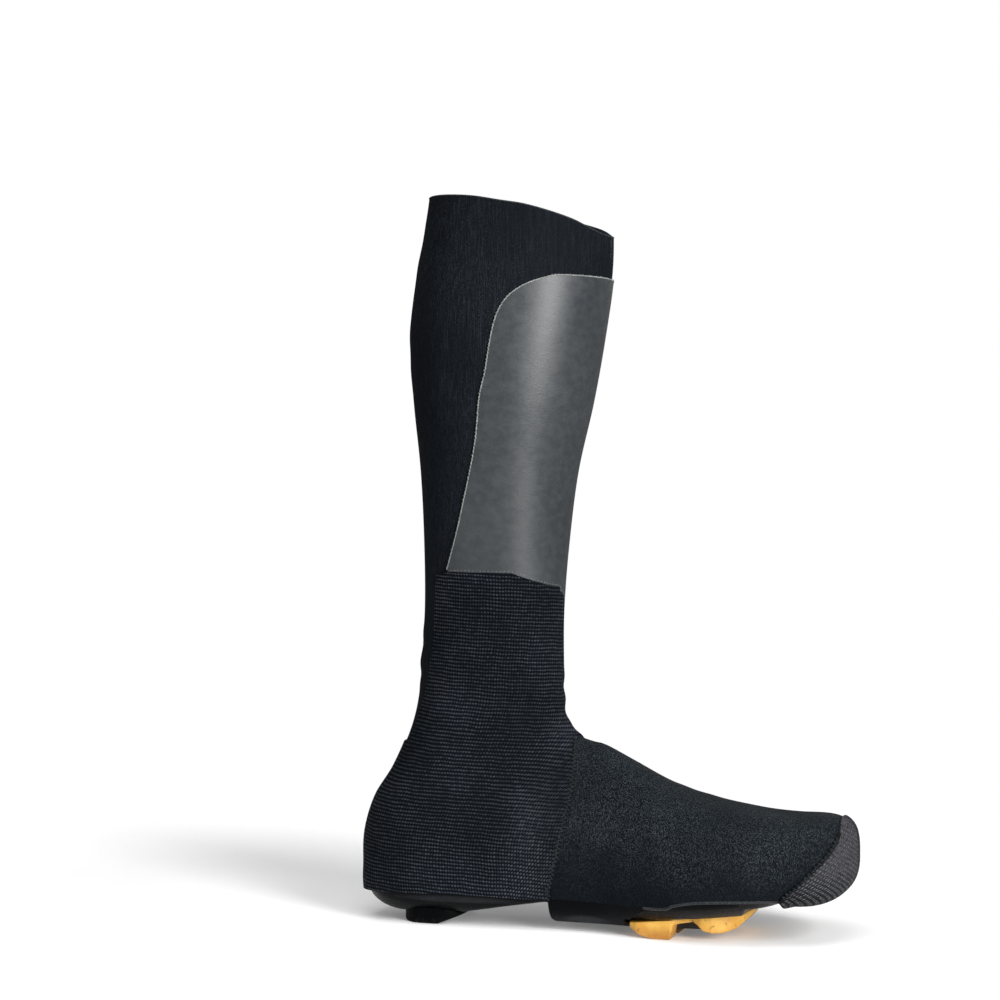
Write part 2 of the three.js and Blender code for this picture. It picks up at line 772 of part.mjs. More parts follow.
// One cleat bolt: a socket head on its washer, turned on its own axis, with its tip inside the sole.
function boltGeometry() {
  const seat = -gap - cleatPlate - gap;
  const face = seat - washerHeight - headHeight;
  const profile = [
    [0, face + socketDepth],
    [socketRadius, face + socketDepth],
    [socketRadius, face],
    [headRadius - headChamfer, face],
    [headRadius, face + headChamfer],
    [headRadius, seat - washerHeight],
    [washerRadius, seat - washerHeight],
    [washerRadius, seat],
    [boltRadius, seat],
    [boltRadius, boltReach],
    [0, boltReach],
  ];
  const geometry = new THREE.LatheGeometry(profile.map(([r, z]) => new THREE.Vector2(r, z)), boltSides);
  geometry.rotateX(Math.PI / 2);
  return geometry;
}

// Finishes
function finish(color, roughness, metalness = 0) {
  return new THREE.MeshStandardMaterial({ color, roughness, metalness });
}
const stretchFabric = finish("#15191c", 0.85);
const coatedFabric = finish("#33373a", 0.42);
const knitFabric = finish("#111519", 0.8);
const aramidKnit = finish("#3c3b3f", 0.8);
const moulding = finish("#0c0d0f", 0.35);
const padRubber = finish("#0b0c0d", 0.7);
const foam = finish("#24272a", 0.9);
const amberPlastic = finish("#d99a1e", 0.4);
const steel = finish("#8d9094", 0.35, 0.9);

const overshoe = new THREE.Group();
overshoe.position.set(-(padRear + padBevel + padFlat / 2), 0, 0);

function place(name, solid, material) {
  const mesh = new THREE.Mesh(geometryOf(solid), material);
  mesh.name = name;
  overshoe.add(mesh);
}

place("upper", makeUpper(), stretchFabric);
place("shin_panel", makeShinPanel(), coatedFabric);
place("ankle_panel", makeAnklePanel(), knitFabric);
place("toe_cap", makeToeCap(), aramidKnit);
place("arch_strap", makeArchStrap(), stretchFabric);
place("outsole", makeOutsole(), moulding);
place("insole", makeInsole(), foam);
place("heel_pad", makeHeelPad(), padRubber);
place("cleat", makeCleat(), amberPlastic);

for (const { name, x, y } of boltPlaces) {
  const bolt = new THREE.Mesh(boltGeometry(), steel);
  bolt.name = name;
  bolt.position.set(x, y, platformZ(x));
  bolt.rotation.y = -Math.atan(platformSlope);
  overshoe.add(bolt);
}

export default overshoe;
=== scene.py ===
# A knee-high aero overshoe for the left foot, worn over the stiff sole of a road cycling shoe.
# The shoe's own sizes are millimetres from the back of the heel: +X to the toe, +Y to the foot's outer side,
# +Z up from the floor. Each mesh goes to Blender in metres, from the middle of the heel pad.
import math

import bpy
import numpy as np
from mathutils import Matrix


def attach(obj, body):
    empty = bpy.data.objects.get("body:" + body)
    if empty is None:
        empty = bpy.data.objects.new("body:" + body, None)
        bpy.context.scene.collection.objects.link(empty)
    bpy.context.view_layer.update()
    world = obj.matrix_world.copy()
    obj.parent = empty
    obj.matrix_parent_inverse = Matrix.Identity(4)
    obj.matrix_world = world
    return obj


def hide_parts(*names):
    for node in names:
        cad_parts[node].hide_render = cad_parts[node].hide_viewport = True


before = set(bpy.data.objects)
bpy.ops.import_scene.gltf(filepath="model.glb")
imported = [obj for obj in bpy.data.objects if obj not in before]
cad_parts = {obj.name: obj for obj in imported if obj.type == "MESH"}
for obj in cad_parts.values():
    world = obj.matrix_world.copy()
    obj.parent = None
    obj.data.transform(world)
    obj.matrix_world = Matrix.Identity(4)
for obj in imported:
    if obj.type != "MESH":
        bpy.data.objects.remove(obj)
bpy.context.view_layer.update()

# THE COVER'S WALL
# A near black stretch fabric, 1.8 mm thick, cut in long tapering pieces and pulled over the shoe like a sock.
# Its form is that of the leg and the shoe inside: level sections down the shaft, slanting ones round the
# ankle and upright ones along the foot, closed by a rounded toe. The foot's piece is a denser neoprene.
foot_length, ball_width, heel_width, instep_height = 290.6, 106, 72, 108
ankle_height, ankle_depth, ankle_width, leg_axis = 150, 84, 62, 76
collar_height, calf_depth, calf_width = 420, 113, 102
hem_height, strap_gap, toe_lift, toe_tip_height = 19, 2.6, 22, 50
leg_squareness, toe_round_plan, toe_round_side = 2.1, 1.8, 2.9
cover_wall, panel_gap = 1.8, 0.3
heel_pad_middle = 39

# up, back, front, half width, centre
shaft_rows = [
    (1.08, 0.29, 0.61, 0.47, 0.0),
    (0.96, 0.328, 0.635, 0.47, 0.005),
    (0.84, 0.384, 0.63, 0.489, 0.012),
    (0.7, 0.42, 0.583, 0.5, 0.006),
    (0.56, 0.398, 0.522, 0.474, 0.002),
    (0.41, 0.362, 0.44, 0.427, 0.003),
    (0.25, 0.348, 0.393, 0.369, 0.004),
    (0.11, 0.35, 0.37, 0.321, 0.003),
]
# front's place ahead and up, back's place out and up, width, widest place, squareness of front and back
ankle_rows = [
    (0.497, 1.0, 0.0, 1.0, 0, 0.5, 2.1, 2.1),
    (0.5, 0.786, 0.03, 0.873, 0.12, 0.49, 2.1, 2.1),
    (0.503, 0.596, 0.17, 0.74, 0.4, 0.47, 2.0, 2.1),
    (0.509, 0.454, 0.455, 0.593, 0.62, 0.45, 2.0, 2.2),
    (0.521, 0.321, 0.785, 0.473, 0.8, 0.43, 2.0, 2.3),
    (0.54, 0.214, 0.963, 0.343, 0.92, 0.42, 1.95, 2.4),
    (0.57, 0.118, 0.984, 0.22, 1, 0.42, 1.9, 2.5),
]
# top's place along and up, sole's place along and lift, half width, centre, ridge, widest place, squareness
foot_rows = [
    (0.438, 1.017, 0.013, 0.5, 0.34, 0.0, 0.0, 0.4, 1.9, 3.0),
    (0.451, 0.998, 0.077, 0.03, 0.34, 0.0, 0.01, 0.39, 1.9, 3.6),
    (0.467, 0.987, 0.171, 0, 0.337, 0.005, 0.03, 0.38, 1.85, 3.6),
    (0.482, 0.981, 0.281, 0, 0.333, 0.012, 0.06, 0.37, 1.8, 3.6),
    (0.498, 0.974, 0.394, 0, 0.337, 0.028, 0.09, 0.36, 1.8, 3.6),
    (0.519, 0.952, 0.508, 0, 0.37, 0.04, 0.11, 0.36, 1.8, 3.6),
    (0.566, 0.89, 0.566, 0.01, 0.408, 0.035, 0.12, 0.37, 1.85, 3.6),
    (0.642, 0.787, 0.642, 0.09, 0.468, 0.018, 0.12, 0.4, 1.95, 3.6),
    (0.724, 0.717, 0.724, 0.27, 0.498, 0.0, 0.11, 0.42, 2.1, 3.6),
    (0.807, 0.672, 0.807, 0.47, 0.468, -0.014, 0.085, 0.44, 2.3, 3.3),
    (0.852, 0.656, 0.852, 0.77, 0.433, -0.022, 0.065, 0.45, 2.4, 3.0),
    (0.893, 0.651, 0.893, 0.94, 0.392, -0.03, 0.05, 0.46, 2.4, 2.8),
]


def leg_x(ahead):
    return leg_axis + ahead * calf_depth


def leg_z(up):
    return ankle_height + up * (ankle_height - instep_height if up < 0 else collar_height - ankle_height)


def foot_x(at):
    return at * foot_length


# front x and z, back x and z, half width, centre, ridge, widest place, squareness of front and back
sections = []
for up, back, front, half, centre in shaft_rows:
    sections.append((leg_x(front), leg_z(up), leg_x(-back), leg_z(up), half * calf_width, centre * calf_width,
                     0, 0.5, leg_squareness, leg_squareness))
for ahead, front_up, back_out, back_up, wide, widest, square_front, square_back in ankle_rows:
    front_z = instep_height + front_up * (ankle_height - instep_height)
    half = (ankle_width + wide * (heel_width - ankle_width)) / 2
    back_x = (leg_axis - ankle_depth / 2) * (1 - back_out)
    sections.append((leg_axis + ahead * ankle_depth, front_z, back_x, back_up * ankle_height,
                     half, 0, 0, widest, square_front, square_back))
for top_at, top_up, sole_at, lift, half, centre, ridge, widest, square_top, square_sole in foot_rows:
    sole_z = strap_gap + lift * (toe_lift - strap_gap)
    sections.append((foot_x(top_at), top_up * instep_height, foot_x(sole_at), sole_z,
                     half * ball_width, centre * ball_width, ridge * ball_width, widest, square_top, square_sole))
ankle_start, foot_start, toe_start = len(shaft_rows), len(shaft_rows) + len(ankle_rows), len(sections) - 1


def spline(rows, u):
    """A smooth curve through a table's rows, u rows on from the first."""
    rows = np.asarray(rows, float)
    end = len(rows) - 1
    u = np.clip(np.asarray(u, float), 0, end)
    k = np.minimum(u.astype(int), end - 1)
    t = (u - k)[..., None]
    a, b, c, d = (rows[np.clip(k + i, 0, end)] for i in (-1, 0, 1, 2))
    start, finish = (c - a) / 2, (d - b) / 2
    return ((2 * t**3 - 3 * t**2 + 1) * b + (t**3 - 2 * t**2 + t) * start
            + (3 * t**2 - 2 * t**3) * c + (t**3 - t**2) * finish)


def drawn(rows, steps=8):
    """The same curve as a list of close points."""
    return spline(rows, np.linspace(0, len(rows) - 1, (len(rows) - 1) * steps + 1))


def bare_form(u, phi, inset):
    """Points of the worn form: u counts sections from the collar to the toe, phi turns round each one."""
    columns = np.moveaxis(spline(sections, u), -1, 0)
    front_x, front_z, back_x, back_z, half, centre, ridge, widest, square_front, square_back = columns
    ahead = np.sin(np.clip(u - toe_start, 0, 1) * math.pi / 2) * 0.99999
    wide = (1 - ahead**toe_round_plan) ** (1 / toe_round_plan)
    tall = (1 - ahead**toe_round_side) ** (1 / toe_round_side)
    advance = ahead * (foot_length - inset - front_x)
    middle = (front_z + back_z) / 2
    rise = ahead**2 * (toe_tip_height - middle)
    front_z, back_z = middle + (front_z - middle) * tall + rise, middle + (back_z - middle) * tall + rise
    inset = inset * tall
    run_x, run_z = front_x - back_x, front_z - back_z
    height = np.hypot(run_x, run_z)
    c, s = np.cos(phi), np.sin(phi)
    square = np.where(c >= 0, square_front, square_back)
    reach = (np.abs(c) ** square + np.abs(s) ** square) ** (-1 / square)
    along = widest + np.where(c >= 0, 1 - widest, widest) * reach * c
    step = (inset + along * (height - 2 * inset)) / height
    top = np.maximum(0, reach * c)
    side = centre + np.maximum(half * wide - inset, 0.02) * reach * s - ridge * wide * top**2
    return np.stack([back_x + advance + run_x * step, side, back_z + run_z * step], -1)


# The cloth's main creases: side (-1 inner, 1 outer, 0 both), depth, half width and
# the crease's line in the side view
creases = [
    (0, 0.7, 3.2, [(120, 121), (108, 127), (94, 130)]),
    (0, 0.5, 3.0, [(121, 134), (111, 140), (100, 142)]),
    (-1, 0.45, 3.4, [(33, 158), (45, 164), (58, 166)]),
    (-1, 0.4, 2.8, [(31, 141), (42, 145), (54, 144)]),
    (1, 0.6, 3.6, [(33, 163), (46, 170), (62, 170)]),
    (1, 0.5, 3.0, [(30, 138), (44, 141), (60, 138)]),
    (-1, 0.45, 4.0, [(139, 100), (133, 84), (131, 66)]),
    (-1, 0.5, 5.0, [(200, 74), (194, 60), (193, 44)]),
    (-1, 0.35, 3.5, [(232, 68), (226, 56), (222, 42)]),
    (1, 0.6, 4.5, [(196, 74), (190, 58), (190, 42)]),
    (1, 0.5, 4.0, [(150, 92), (146, 72), (148, 52)]),
    (-1, 0.4, 3.0, [(128, 28), (150, 26), (176, 28)]),
    (0, 0.35, 7.0, [(44, 392), (70, 384), (100, 380)]),
    (0, 0.3, 6.0, [(34, 330), (62, 318), (92, 316)]),
]


def line_distance(line, a, b):
    p, q = line[:-1], line[1:]
    edge = q - p
    wx, wy = a[..., None] - p[:, 0], b[..., None] - p[:, 1]
    t = np.clip((wx * edge[:, 0] + wy * edge[:, 1]) / (edge**2).sum(1), 0, 1)
    return np.sqrt(((wx - t * edge[:, 0]) ** 2 + (wy - t * edge[:, 1]) ** 2).min(-1))


def crease_depth(points):
    """How far the cloth stands proud of, or sinks below, its plain form."""
    x, y, z = points[..., 0], points[..., 1], points[..., 2]
    total = np.zeros_like(x)
    for side, depth, width, line in creases:
        away = line_distance(drawn(line, 5), x, z) / width
        shape = -np.exp(-(away**2)) + 0.45 * np.exp(-((away - 2.1) ** 2))
        total += depth * shape * (1 if side == 0 else np.clip(0.5 + side * y / 12, 0, 1))
    return total


def outward(u, phi, inset=0.0):
    away = bare_form(u, phi, inset - 0.5) - bare_form(u, phi, inset + 0.5)
    return away / np.linalg.norm(away, axis=-1, keepdims=True)


def form(u, phi, inset=0.0):
    """The creased form, drawn in by inset; below 0 it lies outside the cover."""
    u, phi = np.asarray(u, float), np.asarray(phi, float)
    return bare_form(u, phi, inset) + outward(u, phi, inset) * crease_depth(bare_form(u, phi, 0.0))[..., None]


def inside(outline, a, b):
    """Distance from a closed outline, above 0 inside it and below 0 outside."""
    p = np.asarray(outline, float)
    q = np.roll(p, -1, 0)
    a, b = np.asarray(a, float), np.asarray(b, float)
    rise = np.where(q[:, 1] == p[:, 1], 1, q[:, 1] - p[:, 1])
    spans = (p[:, 1] <= b[..., None]) != (q[:, 1] <= b[..., None])
    crossed = spans & (a[..., None] < p[:, 0] + (b[..., None] - p[:, 1]) * (q[:, 0] - p[:, 0]) / rise)
    distance = line_distance(np.vstack([p, p[:1]]), a, b)
    return np.where(crossed.sum(-1) % 2 == 1, distance, -distance)


def trimmed(steps, turns, keep):
    """A close grid over the form, trimmed to where keep(points) is above 0: its (u, phi) corners and its faces."""
    u, phi = (g.ravel() for g in np.meshgrid(steps, np.linspace(0, 2 * math.pi, turns + 1), indexing="ij"))
    within = keep(form(u, phi)) > 0
    index = np.arange(len(u)).reshape(len(steps), turns + 1)
    quads = np.stack([index[:-1, :-1], index[1:, :-1], index[1:, 1:], index[:-1, 1:]], -1).reshape(-1, 4)
    count = within[quads].sum(1)
    faces = quads[count == 4].tolist()
    if steps[-1] > toe_start + 0.999 and within[index[-1]].all():
        faces.append(index[-1, :-1][::-1].tolist())
    cuts, kept, lost = {}, [], []
    for quad in quads[(count > 0) & (count < 4)].tolist():
        ring = []
        for a, b in zip(quad, quad[1:] + quad[:1]):
            if within[a]:
                ring.append(a)
            if within[a] != within[b]:
                key = (min(a, b), max(a, b))
                if key not in cuts:
                    cuts[key] = len(u) + len(cuts)
                    kept.append(a if within[a] else b)
                    lost.append(b if within[a] else a)
                ring.append(cuts[key])
        faces.append(ring)
    corners = np.stack([u, phi], -1)
    near, far = corners[kept], corners[lost]
    for _ in range(12):
        middle = (near + far) / 2
        good = (keep(form(middle[:, 0], middle[:, 1])) > 0)[:, None]
        near, far = np.where(good, middle, near), np.where(good, far, middle)
    corners = np.vstack([corners, near])
    corners[:, 1] = np.where(corners[:, 1] > 2 * math.pi - 1e-9, 0, corners[:, 1])
    _, first, same = np.unique(np.round(corners, 7), axis=0, return_index=True, return_inverse=True)
    same = same.ravel()
    faces = [[int(same[i]) for i in face] for face in faces]
    used = np.unique(np.concatenate([np.asarray(face) for face in faces]))
    order = {int(old): new for new, old in enumerate(used)}
    faces = [[order[i] for i in face] for face in faces]
    return corners[first[used]], faces


def border_loops(faces):
    """The trimmed grid's open borders, each as a closed run of corners."""
    edges = {(a, b) for face in faces for a, b in zip(face, face[1:] + face[:1])}
    after = {a: b for a, b in edges if (b, a) not in edges}
    loops = []
    while after:
        start, here = next(iter(after.items()))
        loop = [start]
        del after[start]
        while here in after:
            loop.append(here)
            here = after.pop(here)
        loops.append(loop)
    return loops


def cloth_wall(corners, faces, outer, inner):
    """A closed wall of cloth between two insets: its points, its faces, and how many of them are outer faces."""
    count = len(corners)
    points = np.vstack([form(corners[:, 0], corners[:, 1], outer), form(corners[:, 0], corners[:, 1], inner)])
    edges = {(a, b) for face in faces for a, b in zip(face, face[1:] + face[:1])}
    sides = [[b, a, a + count, b + count] for a, b in edges if (b, a) not in edges]
    back = [[i + count for i in reversed(face)] for face in faces]
    return points, faces + back + sorted(sides), len(faces)


def piece_of(name, points, faces, finishes, crisp=38):
    """A mesh of the given points, in the shoe's millimetres, as a Blender object in metres."""
    mesh = bpy.data.meshes.new(name)
    mesh.from_pydata(((np.asarray(points) - [heel_pad_middle, 0, 0]) / 1000).tolist(), [], faces)
    mesh.shade_smooth()
    mesh.set_sharp_from_angle(angle=math.radians(crisp))
    for finish in finishes:
        mesh.materials.append(finish.material)
    piece = bpy.data.objects.new(name, mesh)
    bpy.context.scene.collection.objects.link(piece)
    return piece


class Wire:
    """One shader socket; arithmetic on it adds Math nodes."""

    def __init__(self, finish, socket):
        self.finish = finish
        self.socket = socket

    def maths(self, operation, *values):
        return self.finish.node("ShaderNodeMath", {"operation": operation}, dict(enumerate(values)))

    def __add__(self, other):
        return self.maths("ADD", self, other)

    __radd__ = __add__

    def __mul__(self, other):
        return self.maths("MULTIPLY", self, other)

    __rmul__ = __mul__

    def __sub__(self, other):
        return self.maths("SUBTRACT", self, other)

    def __rsub__(self, other):
        return self.maths("SUBTRACT", other, self)

    def __truediv__(self, other):
        return self.maths("DIVIDE", self, other)

    def __abs__(self):
        return self.maths("ABSOLUTE", self)

    def wave(self):
        return self.maths("SINE", self)


class Finish:
    """A material on one Principled shader, whose named sockets start at the given values."""

    def __init__(self, name, **values):
        self.material = bpy.data.materials.new(name)
        self.material.use_nodes = True
        self.tree = self.material.node_tree
        self.shader = self.tree.nodes["Principled BSDF"]
        for key, value in values.items():
            self.shader.inputs[key.replace("_", " ").title().replace("Ior", "IOR")].default_value = value

    def node(self, kind, settings=None, sockets=None, output=0):
        """A node of that kind, its settings made first and then its sockets filled, as one of its outputs."""
        made = self.tree.nodes.new(kind)
        for key, value in (settings or {}).items():
            setattr(made, key, value)
        for key, value in (sockets or {}).items():
            if isinstance(value, Wire):
                self.tree.links.new(value.socket, made.inputs[key])
            else:
                made.inputs[key].default_value = value
        return Wire(self, made.outputs[output])

    def vector(self, operation, *values, output=0):
        return self.node("ShaderNodeVectorMath", {"operation": operation}, dict(enumerate(values)), output)

    def place(self, x=1.0, y=1.0, z=1.0):
        """The point on the shoe, in metres, stretched along each axis."""
        return self.vector("MULTIPLY", self.node("ShaderNodeTexCoord", output="Object"), (x, y, z))

    def part(self, vector, which):
        return self.node("ShaderNodeSeparateXYZ", sockets={0: vector}, output=which)

    def axis(self, which):
        return self.part(self.place(), which)

    def noise(self, x, y, z, detail, roughness=0.5, output=0):
        sockets = {"Vector": self.place(x, y, z), "Scale": 1.0, "Detail": detail, "Roughness": roughness}
        return self.node("ShaderNodeTexNoise", sockets=sockets, output=output)

    def grain(self, x, y, z, detail=2.0, roughness=0.5):
        """Noise from 0 to 1 with so many grains to the metre along each axis."""
        return self.noise(x, y, z, detail, roughness)

    def swayed(self, layer, grains, across, up):
        """Texture places from one of the mesh's layers, pushed to and fro a little by soft noise."""
        sway = self.vector("SUBTRACT", self.noise(grains, grains, grains, 1.0, output=1), (0.5, 0.5, 0.5))
        spot = self.node("ShaderNodeUVMap", {"uv_map": layer})
        return self.vector("ADD", spot, self.vector("MULTIPLY", sway, (across, up, 0.0)))

    def ramp(self, value, low, high):
        """0 below low, 1 above high, and soft between."""
        sockets = {0: value, 1: low, 2: high, 3: 0.0, 4: 1.0}
        return self.node("ShaderNodeMapRange", {"interpolation_type": "SMOOTHSTEP"}, sockets)

    def blend(self, amount, first, second):
        """From the first colour to the second."""
        first, second = ((*c, 1.0) if isinstance(c, tuple) else c for c in (first, second))
        return self.node("ShaderNodeMix", {"data_type": "RGBA"}, {0: amount, 6: first, 7: second}, output=2)

    def painted_sheen_lens(self, x, z, long, tall):
        """A soft lens of painted sheen on the inner side, about that point in the side view."""
        along, up = (self.axis(0) - x) / long, (self.axis(2) - z) / tall
        return (1 - self.ramp(along * along + up * up, 0.1, 1.0)) * (1 - self.ramp(self.axis(1), -0.004, 0.004))

    def raised(self, height, depth):
        """A relief of that depth in metres."""
        return self.node("ShaderNodeBump", sockets={"Height": height, "Distance": depth, "Strength": 1.0})

    def wear(self, **wires):
        for key, wire in wires.items():
            self.tree.links.new(wire.socket, self.shader.inputs[key.replace("_", " ").title()])
        return self


def stretch_fabric():
    finish = Finish("stretch_fabric", roughness=0.8, specular_ior_level=0.05)
    streaks = finish.grain(1500, 1500, 55, 3.0, 0.6)
    fleck = finish.grain(2600, 2600, 900, 2.0)
    cloud = finish.grain(16, 16, 9, 2.0)
    bright = finish.ramp(streaks, 0.42, 0.78) * 0.35 + finish.ramp(fleck, 0.5, 0.78) * 0.55
    bright = bright * (0.35 + finish.ramp(cloud, 0.3, 0.7))
    shade = finish.blend(bright, (0.0038, 0.0052, 0.0072), (0.030, 0.036, 0.044))
    return finish.wear(base_color=shade, roughness=0.9 - 0.25 * streaks,
                       normal=finish.raised(streaks * 0.6 + fleck * 0.4, 0.0004))


def neoprene():
    finish = Finish("foot_neoprene", roughness=0.75, specular_ior_level=0.04)
    fleck = finish.grain(1900, 1900, 1300, 2.0)
    ribs = finish.grain(1600, 1600, 520, 2.0)
    cloud = finish.grain(30, 30, 30, 2.0)
    low = 1 - finish.ramp(finish.axis(2) + 0.012 * cloud, 0.026, 0.068)
    bright = finish.ramp(fleck, 0.46, 0.70) * (0.5 + finish.ramp(cloud, 0.3, 0.7) * 0.5)
    bright = (bright + finish.ramp(ribs, 0.5, 0.75) * 0.3) * (1 - 0.85 * low)
    shade = finish.blend(bright, (0.0024, 0.0038, 0.0054), (0.046, 0.056, 0.062))
    return finish.wear(base_color=shade, roughness=0.86 - 0.25 * fleck,
                       normal=finish.raised(fleck * 0.5 + ribs * 0.5, 0.0005))


def lining():
    finish = Finish("brushed_lining", roughness=0.95, specular_ior_level=0.15)
    pile = finish.grain(700, 700, 700, 3.0, 0.6)
    loops = finish.grain(1600, 1600, 350, 2.0)
    bright = finish.ramp(pile * 0.5 + loops * 0.5, 0.35, 0.65)
    shade = finish.blend(bright, (0.008, 0.009, 0.011), (0.028, 0.030, 0.033))
    return finish.wear(base_color=shade, normal=finish.raised(pile * 0.6 + loops * 0.4, 0.0008))


hem_line = drawn([(foot_x(at), up * hem_height) for at, up in (
    (-0.108, 0.926), (0.008, 0.953), (0.136, 1.016), (0.263, 1.042), (0.411, 0.989), (0.638, 0.989),
    (0.68, 1.147), (0.728, 1.284), (0.818, 1.347), (0.873, 1.326))])
rim_line = drawn([(leg_x(ahead), collar_height - drop * calf_depth) for ahead, drop in (
    (-0.9, 0), (-0.35, 0), (-0.02, 0.024), (0.177, 0.058), (0.323, 0.085), (0.51, 0.146), (0.65, 0.221),
    (1.1, 0.425))])
toe_pouch, far_off, far_below = foot_x(0.876), 420, -120
# The cover's outline in the side view: along the hem, under the toe, up ahead of it and back along the collar
round_the_toe = [(toe_pouch, hem_line[-1][1] - 0.5), (toe_pouch, far_below), (far_off, far_below), (far_off, far_off)]
cover_outline = np.vstack([hem_line, round_the_toe, rim_line[::-1]])
# Where the foot's neoprene meets the shaft's fabric, hidden under the ankle panel
hidden_join = [(100, -150), (104, 20), (112, 60), (120, 96), (124, 108), (135, 150), (far_off, 160), (far_off, -150)]


def keep_shaft(points):
    x, z = points[..., 0], points[..., 2]
    return np.minimum(inside(cover_outline, x, z), -inside(hidden_join, x, z))


def keep_foot(points):
    x, z = points[..., 0], points[..., 2]
    return np.minimum(inside(cover_outline, x, z), inside(hidden_join, x, z))


def even(*spans):
    """Places along the form, as (from, to, steps for each section)."""
    return np.unique(np.concatenate([np.linspace(a, b, round((b - a) * n) + 1) for a, b, n in spans]))


cover_start, cover_turns = 0.3, 150
whole_form = even((cover_start, ankle_start - 1, 18), (ankle_start - 1, foot_start + 4, 11),
                  (foot_start + 4, toe_start, 9), (toe_start, toe_start + 1, 20))
stretch, foam_cloth, pile = stretch_fabric(), neoprene(), lining()
borders = {}
for name, keep, cloth in (("shaft_fabric", keep_shaft, stretch), ("foot_fabric", keep_foot, foam_cloth)):
    corners, faces = trimmed(whole_form, cover_turns, keep)
    points, faces, outer_count = cloth_wall(corners, faces, 0.0, cover_wall)
    piece = piece_of(name, points, faces, [cloth, pile])
    slots = np.zeros(len(faces), int)
    slots[outer_count:2 * outer_count] = 1
    piece.data.polygons.foreach_set("material_index", slots)
    borders[name] = (corners, border_loops(faces[:outer_count]))
    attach(piece, "root")
    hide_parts("upper")

# THE HEM AND THE COLLAR'S EDGE
# The opening under the foot is bound by a thin round piping, and the collar is a raw cut, bonded flat.
# The piping is turned over the cloth's edge and stitched, the collar's edge shows only a fine lighter line.
piping_radius, piping_inset, piping_step = 0.95, 0.35, 1.6
collar_bead, collar_inset, collar_lowest = 0.42, 0.15, 360
band_rear, band_front = foot_x(0.41), foot_x(0.563) + 14
shortest_run = 6


def border_runs(panel, wanted, inset, spacing):
    """The stretches of a panel's border where wanted(points) holds: evenly spaced points and outward directions."""
    corners, loops = borders[panel]
    runs = []
    for loop in loops:
        ring = corners[loop]
        points, away = form(ring[:, 0], ring[:, 1], inset), outward(ring[:, 0], ring[:, 1], inset)
        good = wanted(points)
        if good.all():
            parts = [np.append(np.arange(len(loop)), 0)]
        else:
            turned = np.roll(np.arange(len(loop)), -int(np.argmin(good)))
            ends = np.flatnonzero(np.diff(np.concatenate([[0], good[turned].astype(int), [0]])))
            parts = [turned[a:b] for a, b in zip(ends[::2], ends[1::2])]
        for part in parts:
            if len(part) < 3:
                continue
            run = np.concatenate([[0], np.cumsum(np.linalg.norm(np.diff(points[part], axis=0), axis=1))])
            if run[-1] < shortest_run:
                continue
            places = np.linspace(0, run[-1], max(3, round(run[-1] / spacing) + 1))
            even_points = np.stack([np.interp(places, run, points[part, k]) for k in range(3)], -1)
            even_away = np.stack([np.interp(places, run, away[part, k]) for k in range(3)], -1)
            runs.append((even_points, even_away / np.linalg.norm(even_away, axis=1, keepdims=True)))
    return runs


def thread(path, away, radius, sides=6, flat=1.0):
    """A round thread or piping along a path, with closed ends."""
    tangent = np.gradient(path, axis=0)
    tangent /= np.linalg.norm(tangent, axis=1, keepdims=True) + 1e-9
    side = np.cross(tangent, away)
    side /= np.linalg.norm(side, axis=1, keepdims=True) + 1e-9
    lift = np.cross(side, tangent)
    turn = np.arange(sides) * 2 * math.pi / sides
    round_it = np.cos(turn)[:, None] * side[:, None] + flat * np.sin(turn)[:, None] * lift[:, None]
    rings = path[:, None] + radius * round_it
    faces = [[i * sides + j, (i + 1) * sides + j, (i + 1) * sides + (j + 1) % sides, i * sides + (j + 1) % sides]
             for i in range(len(path) - 1) for j in range(sides)]
    end = (len(path) - 1) * sides
    return rings.reshape(-1, 3), faces + [list(range(sides)), [end + j for j in reversed(range(sides))]]


def joined(parts):
    """Several meshes' points and faces as one."""
    points, faces, count = [], [], 0
    for part_points, part_faces in parts:
        points.append(part_points)
        faces += [[i + count for i in face] for face in part_faces]
        count += len(part_points)
    return np.vstack(points), faces


def thread_finish(name, dark, light, roughness=0.7):
    finish = Finish(name, roughness=roughness, specular_ior_level=0.1)
    twist = finish.grain(1800, 1800, 1800, 2.0)
    shade = finish.blend(finish.ramp(twist, 0.35, 0.65), dark, light)
    return finish.wear(base_color=shade, normal=finish.raised(twist, 0.0003))


piping_finish = thread_finish("hem_piping", (0.006, 0.007, 0.008), (0.034, 0.038, 0.042), 0.4)
raw_edge_finish = thread_finish("raw_cut_edge", (0.012, 0.014, 0.016), (0.050, 0.054, 0.058))


def near_hem(points):
    x, z = points[..., 0], points[..., 2]
    on_outline = (np.abs(inside(cover_outline, x, z)) < 0.6) & (z < 30) & (x < toe_pouch + 2)
    return on_outline & ((x < band_rear) | (x > band_front))


def near_rim(points):
    return points[..., 2] > collar_lowest


piping = [thread(path, away, piping_radius, 8) for panel in ("foot_fabric", "shaft_fabric")
          for path, away in border_runs(panel, near_hem, piping_inset, piping_step)]
piece = piece_of("hem_piping", *joined(piping), [piping_finish])
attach(piece, "root")
collar = [thread(path, away, collar_bead, 8)
          for path, away in border_runs("shaft_fabric", near_rim, collar_inset, piping_step)]
piece = piece_of("collar_edge", *joined(collar), [raw_edge_finish])
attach(piece, "root")

# THE ANKLE PANEL
# A thicker knit with rows of small raised dots, 1.7 mm apart in rows 2.1 mm apart, that trips the air.
# It wraps the heel and ankle from the foot's seam back, and steps up on the inner side into the shin panel.
ankle_panel_wall, step_edge, step_corner = 1.1, 5, 10
dot_pitch, row_pitch, knit_slant, calf_rounding = 1.7, 2.1, 0.05, 33.0
far_back, far_ahead, far_inner, far_above = leg_x(-1.2), leg_x(1.1), -120, 500
tape_flatness, stitch_lift, stitch_radius = 0.35, 0.5, 0.34


